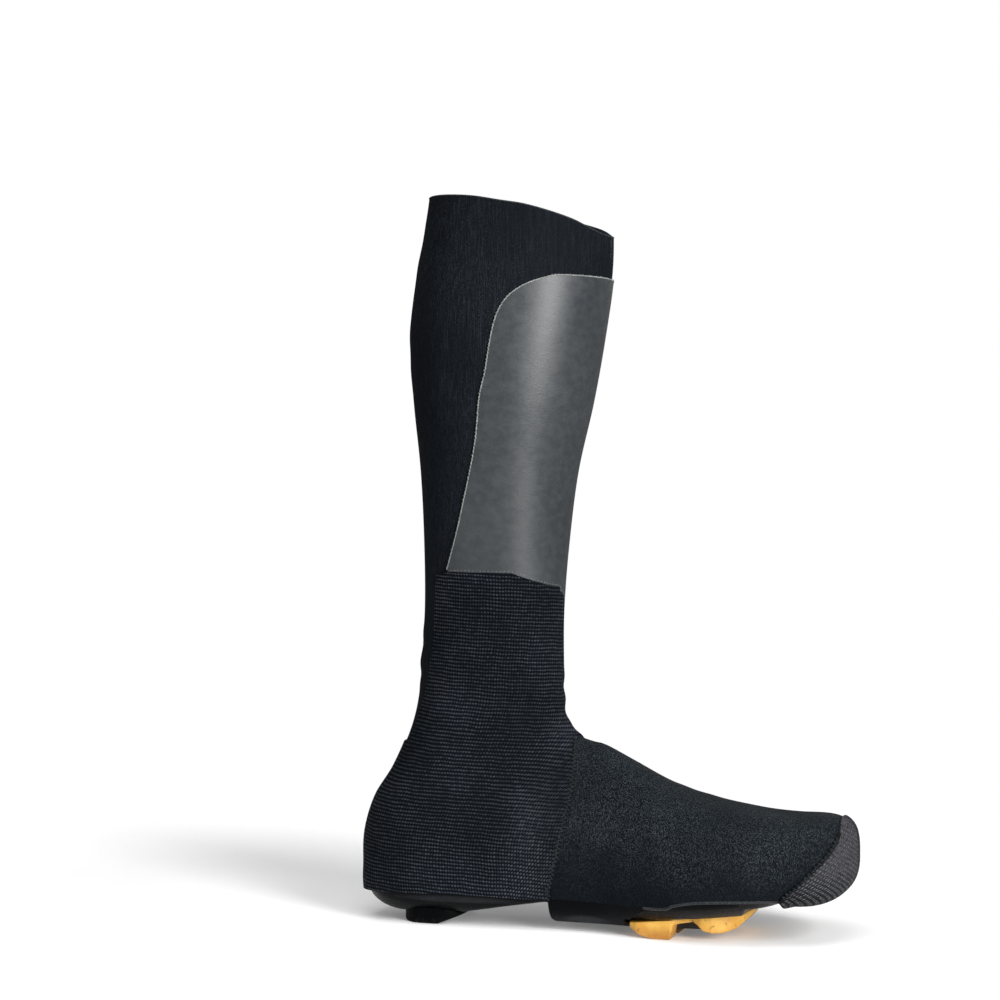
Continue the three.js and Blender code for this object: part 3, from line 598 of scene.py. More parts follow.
def leg_line(rows, raise_by=0.0):
    return [(leg_x(ahead), leg_z(up) + raise_by) for up, ahead in rows]


foot_seam_line = drawn([(foot_x(at), up * instep_height) for at, up in (
    (0.416, -0.1), (0.413, 0.16), (0.428, 0.37), (0.443, 0.56), (0.456, 0.8), (0.441, 1.024), (0.436, 1.06))])
heel_strip = leg_line([(0.11, -0.222), (0.015, -0.242), (-0.566, -0.304), (-0.823, -0.338), (-1.099, -0.395)])
ankle_top = [(-0.566, -0.304), (-0.546, -0.18), (-0.45, 1.1)]
step_top = [(0.191, -0.205), (0.197, -0.13), (0.195, 0.194), (0.154, 0.43), (0.13, 1.1)]


def ankle_region(points, margin=0.0):
    """Above 0 inside the ankle panel; margin raises its upper edges."""
    x, y, z = points[..., 0], points[..., 1], points[..., 2]
    low = list(foot_seam_line) + [(far_ahead, instep_height)] + leg_line(ankle_top, margin)[::-1]
    low += heel_strip[3:] + [(far_back, heel_strip[-1][1]), (far_back, far_below)]
    root = heel_strip[3][1]
    step = leg_line(step_top, margin)[::-1] + heel_strip[:3] + [(leg_x(-0.1), root), (far_ahead, root)]
    edge, corner_z = step_edge + margin, leg_z(step_top[-2][0]) + margin - step_corner
    turn = np.linspace(0, math.pi / 2, 9)
    arc_y, arc_z = edge - step_corner + step_corner * np.cos(turn), corner_z + step_corner * np.sin(turn)
    corner = [(far_inner, far_below), (edge, far_below)] + list(zip(arc_y, arc_z))
    corner += [(edge - step_corner, far_above), (far_inner, far_above)]
    return np.maximum(inside(low, x, z), np.minimum(inside(step, x, z), inside(corner, y, z)))


def keep_ankle_panel(points):
    return np.minimum(ankle_region(points), inside(cover_outline, points[..., 0], points[..., 2]))


def dot_knit():
    finish = Finish("dot_knit", roughness=0.75, specular_ior_level=0.03)
    spot = finish.swayed("knit", 90, 0.9, 0.7)
    cell = finish.vector("FLOOR", spot)
    uneven = finish.node("ShaderNodeTexWhiteNoise", {"noise_dimensions": "2D"}, {"Vector": cell})
    cell = finish.vector("SUBTRACT", finish.vector("FRACTION", spot), (0.5, 0.5, 0.0))
    across, up = finish.part(cell, 0), finish.part(cell, 1)
    # Towards the instep, 58 to 74 dots round from the heel, the dots lean and lengthen
    smear = finish.ramp(finish.part(spot, 0), 58.0, 74.0)
    leaning = {0: (across - up * smear * 0.7) * 0.85, 1: up * (1.35 - 0.45 * smear)}
    reach = finish.vector("LENGTH", finish.node("ShaderNodeCombineXYZ", sockets=leaning), output="Value")
    dot = 1 - finish.ramp(reach, 0.12, 0.48)
    yarn = finish.grain(2300, 2300, 2300, 2.0)
    cloud = finish.grain(26, 26, 26, 2.0)
    tint = finish.blend(finish.ramp(cloud, 0.45, 0.7), (0.0028, 0.0042, 0.0060), (0.0046, 0.0052, 0.0098))
    worn = dot * (0.35 + 0.65 * uneven) * (0.55 + 0.6 * finish.ramp(cloud, 0.3, 0.7))
    shade = finish.blend(worn, tint, (0.056, 0.064, 0.073))
    return finish.wear(base_color=shade, roughness=0.85 - 0.3 * dot, normal=finish.raised(dot + 0.25 * yarn, 0.0007))


def knit_places(points):
    """Where each point lies on the knit: dots counted round the leg from the heel, and rows counted up."""
    x, y, z = points.T
    line = np.linspace(cover_start, foot_start, 160)
    back, front = bare_form(line, np.full(160, math.pi), 0.0), bare_form(line, np.zeros(160), 0.0)
    rear = np.interp(z, back[::-1, 2], back[::-1, 0]) + calf_rounding
    ahead = np.interp(z, front[::-1, 2], front[::-1, 0]) - calf_rounding
    ahead = np.where(z < front[-1, 2], 999.0, np.maximum(ahead, rear))
    round_heel = calf_rounding * np.arctan2(np.abs(y), rear - x)
    around = np.where(x < rear, round_heel, calf_rounding * math.pi / 2 + np.minimum(x, ahead) - rear)
    around = around + np.where(x > ahead, calf_rounding * np.arctan2(x - ahead, np.abs(y)), 0)
    return np.stack([around / dot_pitch, (z + knit_slant * around) / row_pitch], -1)


def mark_places(piece, layer, places):
    """Stores a pair of texture places for each corner."""
    mesh = piece.data
    corner = np.empty(len(mesh.loops), int)
    mesh.loops.foreach_get("vertex_index", corner)
    mesh.uv_layers.new(name=layer).data.foreach_set("uv", places[corner].astype(np.float32).ravel())


def cloth_panel(name, places, turns, keep, wall, cloth):
    """A panel laid just outside the cover, trimmed to where keep is above 0, and its points."""
    corners, faces = trimmed(places, turns, keep)
    borders[name] = (corners, border_loops(faces))
    points, faces, _ = cloth_wall(corners, faces, -panel_gap - wall, -panel_gap)
    return piece_of(name, points, faces, [cloth]), points


heel_form = even((ankle_start - 3.5, ankle_start - 1, 20), (ankle_start - 1, foot_start + 5, 13),
                 (foot_start + 5, foot_start + 8, 10))
piece, points = cloth_panel("ankle_knit", heel_form, 190, keep_ankle_panel, ankle_panel_wall, dot_knit())
mark_places(piece, "knit", knit_places(points))
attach(piece, "root")
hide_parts("ankle_panel")


def zigzag(path, away, swing, lift, radius, sides=5):
    """A thread that crosses a seam to and fro, a little uneven."""
    tangent = np.gradient(path, axis=0)
    across = np.cross(away, tangent)
    across /= np.linalg.norm(across, axis=1, keepdims=True)
    swings = swing * np.where(np.arange(len(path)) % 2, 1, -1) * chance.uniform(0.7, 1.15, len(path))
    bent = path + across * swings[:, None] + away * (lift + chance.uniform(-0.08, 0.08, len(path)))[:, None]
    halves = np.arange(0, len(path) - 0.5, 0.5)
    fine = np.stack([np.interp(halves, np.arange(len(path)), bent[:, k]) for k in range(3)], -1)
    fine_away = np.repeat(away, 2, axis=0)[: len(fine)]
    return thread(fine, fine_away, radius, sides)


black_thread = thread_finish("black_overlock", (0.004, 0.005, 0.006), (0.034, 0.040, 0.046))
seam_tape = thread_finish("black_seam_tape", (0.0008, 0.0010, 0.0012), (0.0030, 0.0034, 0.0040))
chance = np.random.default_rng(11)


def overlocked(name, panel, seam_line, inset, step, tape_radius, swing, ends):
    """A seam along a panel's border: a flat tape between the two cloths, and an overlock stitch of thick
    black thread across it, which leaves out so many points at each end."""
    runs = border_runs(panel, lambda p: line_distance(seam_line, p[..., 0], p[..., 2]) < 0.8, inset, step)
    tape = [thread(path, away, tape_radius, 8, tape_flatness) for path, away in runs]
    piece = piece_of(name + "_tape", *joined(tape), [seam_tape])
    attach(piece, "root")
    stitches = [zigzag(path[ends:len(path) - ends], away[ends:len(path) - ends], swing, stitch_lift, stitch_radius)
                for path, away in runs if len(path) > 4 * ends]
    piece = piece_of(name, *joined(stitches), [black_thread])
    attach(piece, "root")


overlocked("foot_seam", "ankle_knit", foot_seam_line, -panel_gap - ankle_panel_wall * 0.6,
           1.25, 1.25, 1.5, 0)

# THE SHIN PANEL
# A smooth fabric with a satin polyurethane coat, over the shin from its arched top to the ankle.
# It is cut by laser, laid on and bonded, and its pale cut edge is caught by a fine zigzag thread.
shin_wall, shin_top = 0.8, 0.82
edge_bead, edge_flatness, edge_stitch, dash_length, dash_radius = 0.30, 0.7, 0.14, 1.2, 0.17
shin_upper = [(0.563, 0.078), (0.622, 0.112), (0.722, 0.16), (0.77, 0.217), (0.8, 0.312), (shin_top, 0.445)]
shin_inner = leg_line([(0.197, -0.145), (0.22, -0.122), (0.309, -0.052), (0.459, 0.042)] + shin_upper)
shin_outer = leg_line([(-0.546, -0.195), (0.1, -0.13), (0.309, -0.02), (0.459, 0.05)] + shin_upper)
shin_end = (leg_x(1.1), leg_z(shin_top))


def keep_shin_panel(points):
    x, y, z = points[..., 0], points[..., 1], points[..., 2]
    inner = inside(list(drawn(shin_inner)) + [shin_end, (far_ahead, leg_z(0))], x, z)
    outer = inside(list(drawn(shin_outer)) + [shin_end, (far_ahead, leg_z(-0.64))], x, z)
    halves = np.maximum(np.minimum(inner, step_edge - y), np.minimum(outer, y - step_edge + 0.01))
    return np.minimum(halves, -ankle_region(points, panel_gap))


def coated_fabric():
    finish = Finish("satin_coated_fabric", roughness=0.42, specular_ior_level=0.55, coat_roughness=0.35)
    weft = finish.grain(500, 500, 2600, 2.0)
    mottle = finish.grain(160, 160, 220, 3.0, 0.6)
    cloud = finish.grain(22, 22, 14, 2.0)
    bright = finish.ramp(mottle, 0.3, 0.7) * 0.55 + finish.ramp(cloud, 0.3, 0.7) * 0.45
    shade = finish.blend(bright, (0.022, 0.026, 0.030), (0.042, 0.046, 0.049))
    return finish.wear(base_color=shade, roughness=0.36 + 0.14 * mottle,
                       normal=finish.raised(weft * 0.5 + mottle * 0.5, 0.00014))


shaft_form = even((cover_start, ankle_start - 1, 22), (ankle_start - 1, foot_start + 1, 14))
piece, _ = cloth_panel("shin_coated_panel", shaft_form, 190, keep_shin_panel, shin_wall, coated_fabric())
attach(piece, "root")
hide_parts("shin_panel")

pale_thread = thread_finish("pale_edge_thread", (0.10, 0.105, 0.105), (0.34, 0.35, 0.34), 0.6)
edge_inset = -panel_gap - shin_wall


def beside_ankle_panel(points):
    return ankle_region(points, panel_gap) > -1.0


def on_free_edge(points):
    return ankle_region(points, panel_gap) < -1.2


beads = [thread(path, away, edge_bead, 6, edge_flatness)
         for path, away in border_runs("shin_coated_panel", on_free_edge, edge_inset, 1.4)]
beads += [zigzag(path, away, 0.55, 0.1, edge_stitch, 4)
          for path, away in border_runs("shin_coated_panel", on_free_edge, edge_inset, 1.1)]
piece = piece_of("shin_edge_thread", *joined(beads), [pale_thread])
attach(piece, "root")

# The two halves of the collar band meet above the panel in a flat seam down the front
places = np.linspace(cover_start, 1.8, 40)
path, away = form(places, 0 * places, -0.1), outward(places, 0 * places)
shown = (inside(cover_outline, path[:, 0], path[:, 2]) > 0.3) & (path[:, 2] > shin_end[1] + 0.6)
path, away = path[shown], away[shown]
seam_parts = [thread(path, away, 0.8, 8, tape_flatness), zigzag(path, away, 0.9, 0.25, 0.2)]
piece = piece_of("collar_front_seam", *joined(seam_parts), [black_thread])
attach(piece, "root")


def dashes(path, away, inwards):
    """Short straight stitches beside a seam."""
    tangent = np.gradient(path, axis=0)
    tangent /= np.linalg.norm(tangent, axis=1, keepdims=True)
    across = np.cross(away, tangent)
    made = []
    for p, a, t, c in zip(path[1:-1], away[1:-1], tangent[1:-1], across[1:-1]):
        reach = t * dash_length / 2
        ends = np.array([p - reach - a * 0.1, p + a * 0.12, p + reach - a * 0.1]) + c * inwards
        made.append(thread(ends, np.array([a, a, a]), dash_radius, 4))
    return made


lower_dashes = []
for path, away in border_runs("shin_coated_panel", beside_ankle_panel, edge_inset, 2.3):
    lower_dashes += dashes(path, away, 0.9)
piece = piece_of("shin_lower_stitches", *joined(lower_dashes), [pale_thread])
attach(piece, "root")

# THE TOE CAP
# Grey aramid knit in slanting rows of short floats, hard wearing, drawn over the toe and seamed down its middle.
# Its edge is overlocked to the neoprene in black thread that bites 1.6 mm into each side.
toe_cap_wall, float_pitch, float_rows, float_slant = 1.1, 1.55, 2.3, math.radians(28)
toe_turn, toe_middle = 46.0, -4.5
toe_cap_edge = drawn([(foot_x(at), up * instep_height) for at, up in (
    (0.85, -0.1), (0.854, 0.16), (0.881, 0.25), (0.911, 0.323), (0.94, 0.404), (0.964, 0.483),
    (0.975, 0.55), (0.976, 0.61), (0.968, 0.66), (0.955, 0.76))])
toe_cap_outline = [(far_off, far_below), (far_off, 200)] + list(toe_cap_edge[::-1])


def keep_toe_cap(points):
    x, z = points[..., 0], points[..., 2]
    return np.minimum(inside(toe_cap_outline, x, z), inside(cover_outline, x, z))


def aramid_knit():
    finish = Finish("aramid_knit", roughness=0.7, specular_ior_level=0.08)
    spot = finish.swayed("weave", 420, 0.9, 0.5)
    across, along = finish.part(spot, 0), finish.part(spot, 1)
    row = finish.ramp((along * math.tau).wave(), -0.5, 0.2)
    floats = finish.ramp(((across + along * 0.6) * math.tau).wave(), 0.2, 0.9)
    yarn = finish.grain(2200, 2200, 2200, 2.0)
    low = 1 - finish.ramp(finish.axis(2), 0.022, 0.050)
    weave = row * floats
    bright = weave * (0.25 + 0.30 * low) * (0.3 + 1.2 * finish.ramp(yarn, 0.3, 0.7))
    seam = 1 - finish.ramp(abs(finish.axis(1) - toe_middle / 1000), 0.0006, 0.0022)
    mottle = finish.ramp(finish.grain(420, 420, 600, 3.0, 0.6), 0.35, 0.65)
    ground = finish.blend(mottle, (0.022, 0.022, 0.026), (0.048, 0.047, 0.054))
    ground = finish.blend(low, ground, (0.004, 0.005, 0.007))
    shade = finish.blend(bright, ground, (0.32, 0.32, 0.335))
    shade = finish.blend(seam * 0.85, shade, (0.006, 0.006, 0.008))
    return finish.wear(base_color=shade, roughness=0.8 - 0.2 * weave,
                       normal=finish.raised(weave + yarn * 0.3 - seam, 0.0007))


toe_form = even((toe_start - 3.5, toe_start, 16), (toe_start, toe_start + 1, 44))
piece, points = cloth_panel("toe_cap_knit", toe_form, 150, keep_toe_cap, toe_cap_wall, aramid_knit())
round_toe = toe_turn * np.arctan2(np.abs(points[:, 1] - toe_middle), points[:, 0] - foot_x(0.80))
across = round_toe * math.cos(float_slant) + points[:, 2] * math.sin(float_slant)
along = points[:, 2] * math.cos(float_slant) - round_toe * math.sin(float_slant)
mark_places(piece, "weave", np.stack([across / float_pitch, along / float_rows], -1))
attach(piece, "root")
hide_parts("toe_cap")
overlocked("toe_cap_seam", "toe_cap_knit", toe_cap_edge, -panel_gap - toe_cap_wall * 0.7,
           1.35, 1.15, 1.6, 3)

# THE STRAP UNDER THE ARCH
# The cover closes under the arch, between the heel's opening and the cleat's, as one smooth rubbery band.
# It is the foot's own cloth, dipped in a glossy grip coat and worn a little grey where it touches the ground.
strap_rear, strap_front, strap_flare, strap_corner, strap_tuck = foot_x(0.412), foot_x(0.563), 18, 4, 6.5
strap_top = hem_line[4 * 8][1] - panel_gap
strap_outline = [
    (strap_rear, strap_top), (strap_rear, strap_gap + strap_corner), (strap_rear + 1.2, strap_gap + 1.5),
    (strap_rear + strap_corner, strap_gap - 1), (strap_front, strap_gap - 1),
    (strap_front + 0.3, strap_gap + strap_tuck), (strap_front + strap_flare, strap_top)]


def dipped_band():
    finish = Finish("dipped_band", roughness=0.4, specular_ior_level=0.04)
    scuff = finish.grain(240, 120, 240, 3.0, 0.65)
    fine = finish.grain(1300, 700, 1300, 2.0)
    low = 1 - finish.ramp(finish.axis(2), 0.004, 0.011)
    worn = low * finish.ramp(scuff, 0.44, 0.70) * 0.6
    # Painted highlight: a soft lighter lens of sheen on the band's inner side, blended into its colour
    painted_sheen = finish.painted_sheen_lens(0.102, 0.0072, 0.016, 0.0034) * (0.5 + fine)
    shade = finish.blend(worn * 0.4, (0.0010, 0.0013, 0.0020), (0.05, 0.054, 0.062))
    shade = finish.blend(painted_sheen * 0.30, shade, (0.050, 0.055, 0.062))
    return finish.wear(base_color=shade, roughness=0.34 + 0.35 * worn + 0.12 * fine,
                       normal=finish.raised(fine, 0.0002))


def keep_strap(points):
    return inside(strap_outline, points[..., 0], points[..., 2])


corners, faces = trimmed(even((foot_start + 1, foot_start + 9, 14)), 240, keep_strap)
points, faces, _ = cloth_wall(corners, faces, 0.0, cover_wall)
piece = piece_of("arch_band", points, faces, [dipped_band()])
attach(piece, "root")
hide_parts("arch_strap")

# THE OUTSOLE
# A stiff moulded composite sole, glossy black, with an upturned rim and a sloped platform for the cleat.
# It is laid up in a mould, so its edges are rounded and its underside is gently crowned.
rim_wall, sole_base, cleat_length = 2.5, 5, 68
platform_rear = foot_x(0.566)
platform_front = platform_rear + cleat_length
platform_rear_z, platform_front_z = 8.4, 15.4
platform_slope = (platform_front_z - platform_rear_z) / (platform_front - platform_rear)
under_line = [(foot_x(at), up * hem_height) for at, up in (
    (0.012, 1.158), (0.02, 0.895), (0.032, 0.663), (0.048, 0.474), (0.068, 0.368), (0.092, 0.326),
    (0.181, 0.337), (0.231, 0.379), (0.311, 0.6), (0.398, 0.816), (0.471, 0.768), (0.536, 0.526))]
under_line += [(platform_rear, platform_rear_z), (platform_front, platform_front_z)]
under_line += [(platform_front + at * (foot_length - platform_front), up * hem_height) for at, up in (
    (0.034, 0.995), (0.26, 1.095), (0.381, 1.179), (0.601, 1.347), (0.75, 1.579), (0.9, 2))]
sole_rim = [(foot_x(at), up * hem_height) for at, up in (
    (0.99, 2.105), (0.92, 1.947), (0.79, 1.684), (0.64, 1.474), (0.401, 1.474), (0.092, 1.474), (-0.008, 1.579))]
footbed_places = [
    0.037, 0.062, 0.092, 0.181, 0.241, 0.311, 0.401, 0.491, 0.566, 0.64, 0.71, 0.78, 0.85, 0.92, 0.955]
footbed_lift = {0.566: 2.5, 0.78: 1.5}
# The underside's crown: how far along, how far its flat middle reaches to each side, and the rise of its edge
crown_along, crown_half, crown_rise = (0, 40, 120, 165, 215, 250, 285), (24, 34, 33, 42, 50, 44, 12), 0.0032


def under_height(x):
    return np.interp(x, *np.asarray(under_line).T)


def footbed_line(lift):
    return [(foot_x(at), under_height(foot_x(at)) + lift + footbed_lift.get(at, 0)) for at in footbed_places]


def lasted(inset):
    """The foot's own form, closed at the ankle and the toe, drawn in by inset."""
    turns = 120
    steps = even((ankle_start, foot_start + 4, 10), (foot_start + 4, toe_start, 8), (toe_start, toe_start + 1, 16))
    u, phi = np.meshgrid(steps, np.arange(turns) * 2 * math.pi / turns, indexing="ij")
    points = bare_form(u.ravel(), phi.ravel(), inset)
    faces = [[i * turns + j, (i + 1) * turns + j, (i + 1) * turns + (j + 1) % turns, i * turns + (j + 1) % turns]
             for i in range(len(steps) - 1) for j in range(turns)]
    end = (len(steps) - 1) * turns
    return points, faces + [list(range(turns)), [end + j for j in reversed(range(turns))]]


def slab(outline, half_width):
    """A side view outline carried across the whole shoe."""
    outline = np.asarray(outline, float)
    before = np.roll(outline, 1, 0)
    if (before[:, 0] * outline[:, 1] - outline[:, 0] * before[:, 1]).sum() < 0:
        outline = outline[::-1]
    count = len(outline)
    near = np.stack([outline[:, 0], np.full(count, -half_width), outline[:, 1]], -1)
    far = near + [0, 2 * half_width, 0]
    faces = [list(range(count)), [count + i for i in reversed(range(count))]]
    faces += [[(i + 1) % count, i, i + count, (i + 1) % count + count] for i in range(count)]
    return np.vstack([near, far]), faces


def moulded(name, body, cuts, voxel, passes, finishes):
    """A body cut by others, meshes or pieces, then its edges rounded as a mould's are."""
    piece = piece_of(name, *body, finishes)
    tools = []
    for operation, tool in cuts:
        tools.append(piece_of("tool", *tool, []) if isinstance(tool, tuple) else tool)
        cut = piece.modifiers.new("cut", "BOOLEAN")
        cut.operation, cut.object, cut.solver = operation, tools[-1], "EXACT"
    smooth_edges(piece, voxel, passes)
    for tool in tools:
        bpy.data.objects.remove(tool)
    return piece


def smooth_edges(piece, voxel, passes):
    """Remakes a piece's skin with small even faces and relaxes it, so its edges turn round."""
    remesh = piece.modifiers.new("even", "REMESH")
    remesh.mode, remesh.voxel_size = "VOXEL", voxel / 1000
    relax = piece.modifiers.new("relax", "SMOOTH")
    relax.factor, relax.iterations = 0.5, passes
    bpy.context.view_layer.update()
    baked = bpy.data.meshes.new_from_object(piece.evaluated_get(bpy.context.evaluated_depsgraph_get()))
    piece.modifiers.clear()
    piece.data = baked
    baked.shade_smooth()


def gloss_composite():
    finish = Finish("gloss_composite", roughness=0.25, specular_ior_level=0.06)
    scuff = finish.grain(90, 220, 220, 4.0, 0.65)
    scratch = finish.grain(60, 1500, 1500, 2.0)
    dust = finish.ramp(scuff, 0.50, 0.74) * (1 - finish.ramp(finish.axis(2), 0.009, 0.020))
    # Painted highlight: a soft lighter lens of sheen just below the hem on the heel's inner side, blended into its
    # colour
    painted_sheen = finish.painted_sheen_lens(0.026, 0.0155, 0.044, 0.0026) * (0.5 + 0.5 * scuff)
    shade = finish.blend(dust * 0.4, (0.0012, 0.0015, 0.0020), (0.012, 0.012, 0.011))
    shade = finish.blend(painted_sheen * 0.35, shade, (0.045, 0.051, 0.058))
    return finish.wear(base_color=shade, roughness=0.20 + 0.35 * dust + 0.14 * scratch,
                       normal=finish.raised(scratch + scuff, 0.00008))


def crown(piece):
    """Lifts the edges of the sole's underside, so that its middle hangs a little lower."""
    spots = np.empty(len(piece.data.vertices) * 3)
    piece.data.vertices.foreach_get("co", spots)
    spots = spots.reshape(-1, 3)
    x, z = spots[:, 0] * 1000 + heel_pad_middle, spots[:, 2] * 1000
    edge = np.clip((np.abs(spots[:, 1]) * 1000 / np.interp(x, crown_along, crown_half) - 0.62) / 0.4, 0, 1)
    spots[:, 2] += crown_rise * edge**2 * np.clip(1 - (z - under_height(x)) / 7, 0, 1)
    piece.data.vertices.foreach_set("co", spots.ravel())


tray = footbed_line(sole_base) + [(foot_x(0.98), 150), (foot_x(0.022), 150)]
hollow = moulded("tray_form", lasted(cover_wall + panel_gap + rim_wall), [("INTERSECT", slab(tray, 90))], 2.0, 2, [])
shaping = [("INTERSECT", slab(under_line + sole_rim, 80)), ("DIFFERENCE", hollow)]
piece = moulded("moulded_sole", lasted(cover_wall + panel_gap), shaping, 1.1, 5, [gloss_composite()])
crown(piece)
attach(piece, "root")
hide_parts("outsole")

# THE FOOTBED
# A thin moulded foam footbed with a fine knit face. It follows the tray's floor and lies loose in it,
# a little clear of the rim.
insole_wall = 4


def footbed_foam():
    finish = Finish("footbed_foam", roughness=0.95, specular_ior_level=0.2)
    knit_face = finish.grain(1500, 1500, 1500, 2.0)
    worn = finish.grain(28, 28, 28, 3.0)
    bright = finish.ramp(knit_face, 0.3, 0.7) * 0.6 + finish.ramp(worn, 0.4, 0.7) * 0.4
    shade = finish.blend(bright, (0.012, 0.013, 0.014), (0.040, 0.041, 0.043))
    return finish.wear(base_color=shade, normal=finish.raised(knit_face, 0.0005))


bed = footbed_line(sole_base + panel_gap) + footbed_line(sole_base + panel_gap + insole_wall)[::-1]
clear_of_rim = lasted(cover_wall + 2 * panel_gap + rim_wall)
piece = moulded("footbed", clear_of_rim, [("INTERSECT", slab(bed, 80))], 1.4, 3, [footbed_foam()])
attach(piece, "root")
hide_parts("insole")

# THE HEEL PAD
# A block of black rubber screwed up under the heel, hollowed on top to fit the sole.
# Its edges are rounded by wear, and its lower face is scuffed and dusty.


def carved_from(node, name, voxel, passes, finish):
    """The node's own solid with its faces remade small and its edges rounded."""
    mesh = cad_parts[node].data.copy()
    mesh.materials.clear()
    mesh.materials.append(finish.material)
    piece = bpy.data.objects.new(name, mesh)
    bpy.context.scene.collection.objects.link(piece)
    smooth_edges(piece, voxel, passes)
    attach(piece, "root")
    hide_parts(node)
    return piece


def pad_rubber():
    finish = Finish("pad_rubber", roughness=0.7, specular_ior_level=0.04)
    grit = finish.grain(420, 420, 420, 4.0, 0.65)
    fine = finish.grain(1700, 1700, 1700, 2.0)
    low = 1 - finish.ramp(finish.axis(2), 0.0004, 0.0040)
    worn = low * finish.ramp(grit, 0.40, 0.68)
    shade = finish.blend(worn * 0.6, (0.0008, 0.0010, 0.0013), (0.020, 0.019, 0.018))
    return finish.wear(base_color=shade, roughness=0.58 + 0.3 * worn,
                       normal=finish.raised(fine * 0.4 + grit * 0.6, 0.00025))


piece = carved_from("heel_pad", "heel_rubber", 0.6, 4, pad_rubber())

# THE CLEAT
# Amber moulded plastic, three bolts wide, with two rear wings that touch the ground and a nose that clips in.
# Walking has rounded it, browned its lower edges and pressed dirt into its corners; the slot in its middle is painted
# near black, a painted shade.
slot_rear, slot_front, slot_half, slot_edge = 0.1520, 0.1715, 0.0205, 0.001


def amber_plastic():
    finish = Finish("amber_plastic", roughness=0.45, specular_ior_level=0.45)
    cloud = finish.grain(70, 70, 110, 3.0, 0.6)
    spots = finish.grain(330, 330, 330, 3.0, 0.6)
    scratch = finish.grain(300, 300, 1500, 2.0)
    low = 1 - finish.ramp(finish.axis(2), 0.0015, 0.0085)
    warm = finish.blend(finish.ramp(cloud, 0.3, 0.72), (0.76, 0.43, 0.076), (0.62, 0.30, 0.036))
    browned = finish.blend(low * (0.35 + 0.65 * cloud), warm, (0.30, 0.105, 0.012))
    dirt_and_slot_shade = finish.blend(finish.ramp(spots, 0.60, 0.72) * 0.75, browned, (0.055, 0.030, 0.014))
    # Painted shade: the cleat's core within the slot between its wings is painted near black
    slot_shade = finish.ramp(finish.axis(0), slot_rear, slot_rear + slot_edge)
    slot_shade = slot_shade * (1 - finish.ramp(finish.axis(0), slot_front, slot_front + slot_edge))
    slot_shade = slot_shade * (1 - finish.ramp(abs(finish.axis(1)), slot_half, slot_half + slot_edge))
    dirt_and_slot_shade = finish.blend(slot_shade, dirt_and_slot_shade, (0.010, 0.008, 0.007))
    return finish.wear(base_color=dirt_and_slot_shade, roughness=0.38 + 0.3 * spots,
                       normal=finish.raised(scratch * 0.5 + spots * 0.5, 0.00018))


piece = carved_from("cleat", "amber_cleat", 0.5, 2, amber_plastic())

# THE CLEAT'S BOLTS
# Three steel socket head bolts on plain washers, turned, with a hexagon broached in each head.
# They pass through the cleat's plate into the sole, square to its sloped platform.
bolt_radius, head_radius, head_height, head_chamfer = 2.5, 5.6, 2.6, 0.7
washer_radius, washer_height, washer_edge = 7, 1, 0.2
socket_flat, socket_depth, bolt_reach, cleat_plate, bolt_sides = 2.0, 1, 5, 3, 48
cleat_setback, rear_bolt_inset, bolt_triangle, rear_bolt_spacing = 1, 18, 28, 34


def bright_steel():
    finish = Finish("bright_steel", metallic=1.0, roughness=0.35)
    turned = finish.grain(500, 500, 2500, 2.0)
    stain = finish.grain(500, 500, 500, 3.0, 0.6)
    shade = finish.blend(finish.ramp(stain, 0.5, 0.72), (0.42, 0.43, 0.45), (0.16, 0.13, 0.10))
    return finish.wear(base_color=shade, roughness=0.26 + 0.3 * stain, normal=finish.raised(turned, 0.00006))


def bolt_on_washer(x, y):
    """A bolt and its washer as one turned form: rings of radius, height from the platform, and 1 in the hexagon."""
    seat = -panel_gap - cleat_plate - panel_gap
    under_head = seat - washer_height
    face = under_head - head_height
    bevel = head_radius - head_chamfer
    rings = [
        (0.001, face + socket_depth + 0.3, 0), (socket_flat * 0.55, face + socket_depth, 1),
        (socket_flat, face + socket_depth - 0.1, 1), (socket_flat, face + 0.15, 1), (socket_flat + 0.25, face, 1),
        (bevel - 0.2, face, 0), (bevel, face + 0.06, 0), (head_radius - 0.12, face + head_chamfer - 0.12, 0),
        (head_radius, face + head_chamfer, 0), (head_radius, under_head - 0.1, 0), (head_radius, under_head, 0),
        (washer_radius - washer_edge, under_head, 0), (washer_radius, under_head + washer_edge, 0),
        (washer_radius, seat - washer_edge, 0), (washer_radius - washer_edge, seat, 0),
        (bolt_radius, seat, 0), (bolt_radius, bolt_reach, 0), (0.001, bolt_reach, 0),
    ]
    turn = np.arange(bolt_sides) * 2 * math.pi / bolt_sides
    hexagon = 1 / np.cos((turn % (math.pi / 3)) - math.pi / 6)
    tilt = math.atan(platform_slope)
    points = []
    for radius, z, six in rings:
        r = radius * (hexagon if six else 1)
        px, py = r * np.cos(turn), r * np.sin(turn)
        platform_z = platform_rear_z + (x - platform_rear) * platform_slope
        points.append(np.stack([px * math.cos(tilt) - z * math.sin(tilt) + x, py + y,
                                px * math.sin(tilt) + z * math.cos(tilt) + platform_z], -1))
    n, end = bolt_sides, (len(rings) - 1) * bolt_sides
    faces = [[i + j, i + (j + 1) % n, i + n + (j + 1) % n, i + n + j] for i in range(0, end, n) for j in range(n)]
    return np.vstack(points), faces + [list(reversed(range(n))), list(range(end, end + n))]


steel = bright_steel()
rear_bolt_x = platform_rear + cleat_setback + rear_bolt_inset
for node, x, y in (("cleat_bolt_front", rear_bolt_x + bolt_triangle, 0),
                   ("cleat_bolt_inner", rear_bolt_x, -rear_bolt_spacing / 2),
                   ("cleat_bolt_outer", rear_bolt_x, rear_bolt_spacing / 2)):
    piece = piece_of(node + "_turned", *bolt_on_washer(x, y), [steel], 30)
    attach(piece, "root")
    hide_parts(node)

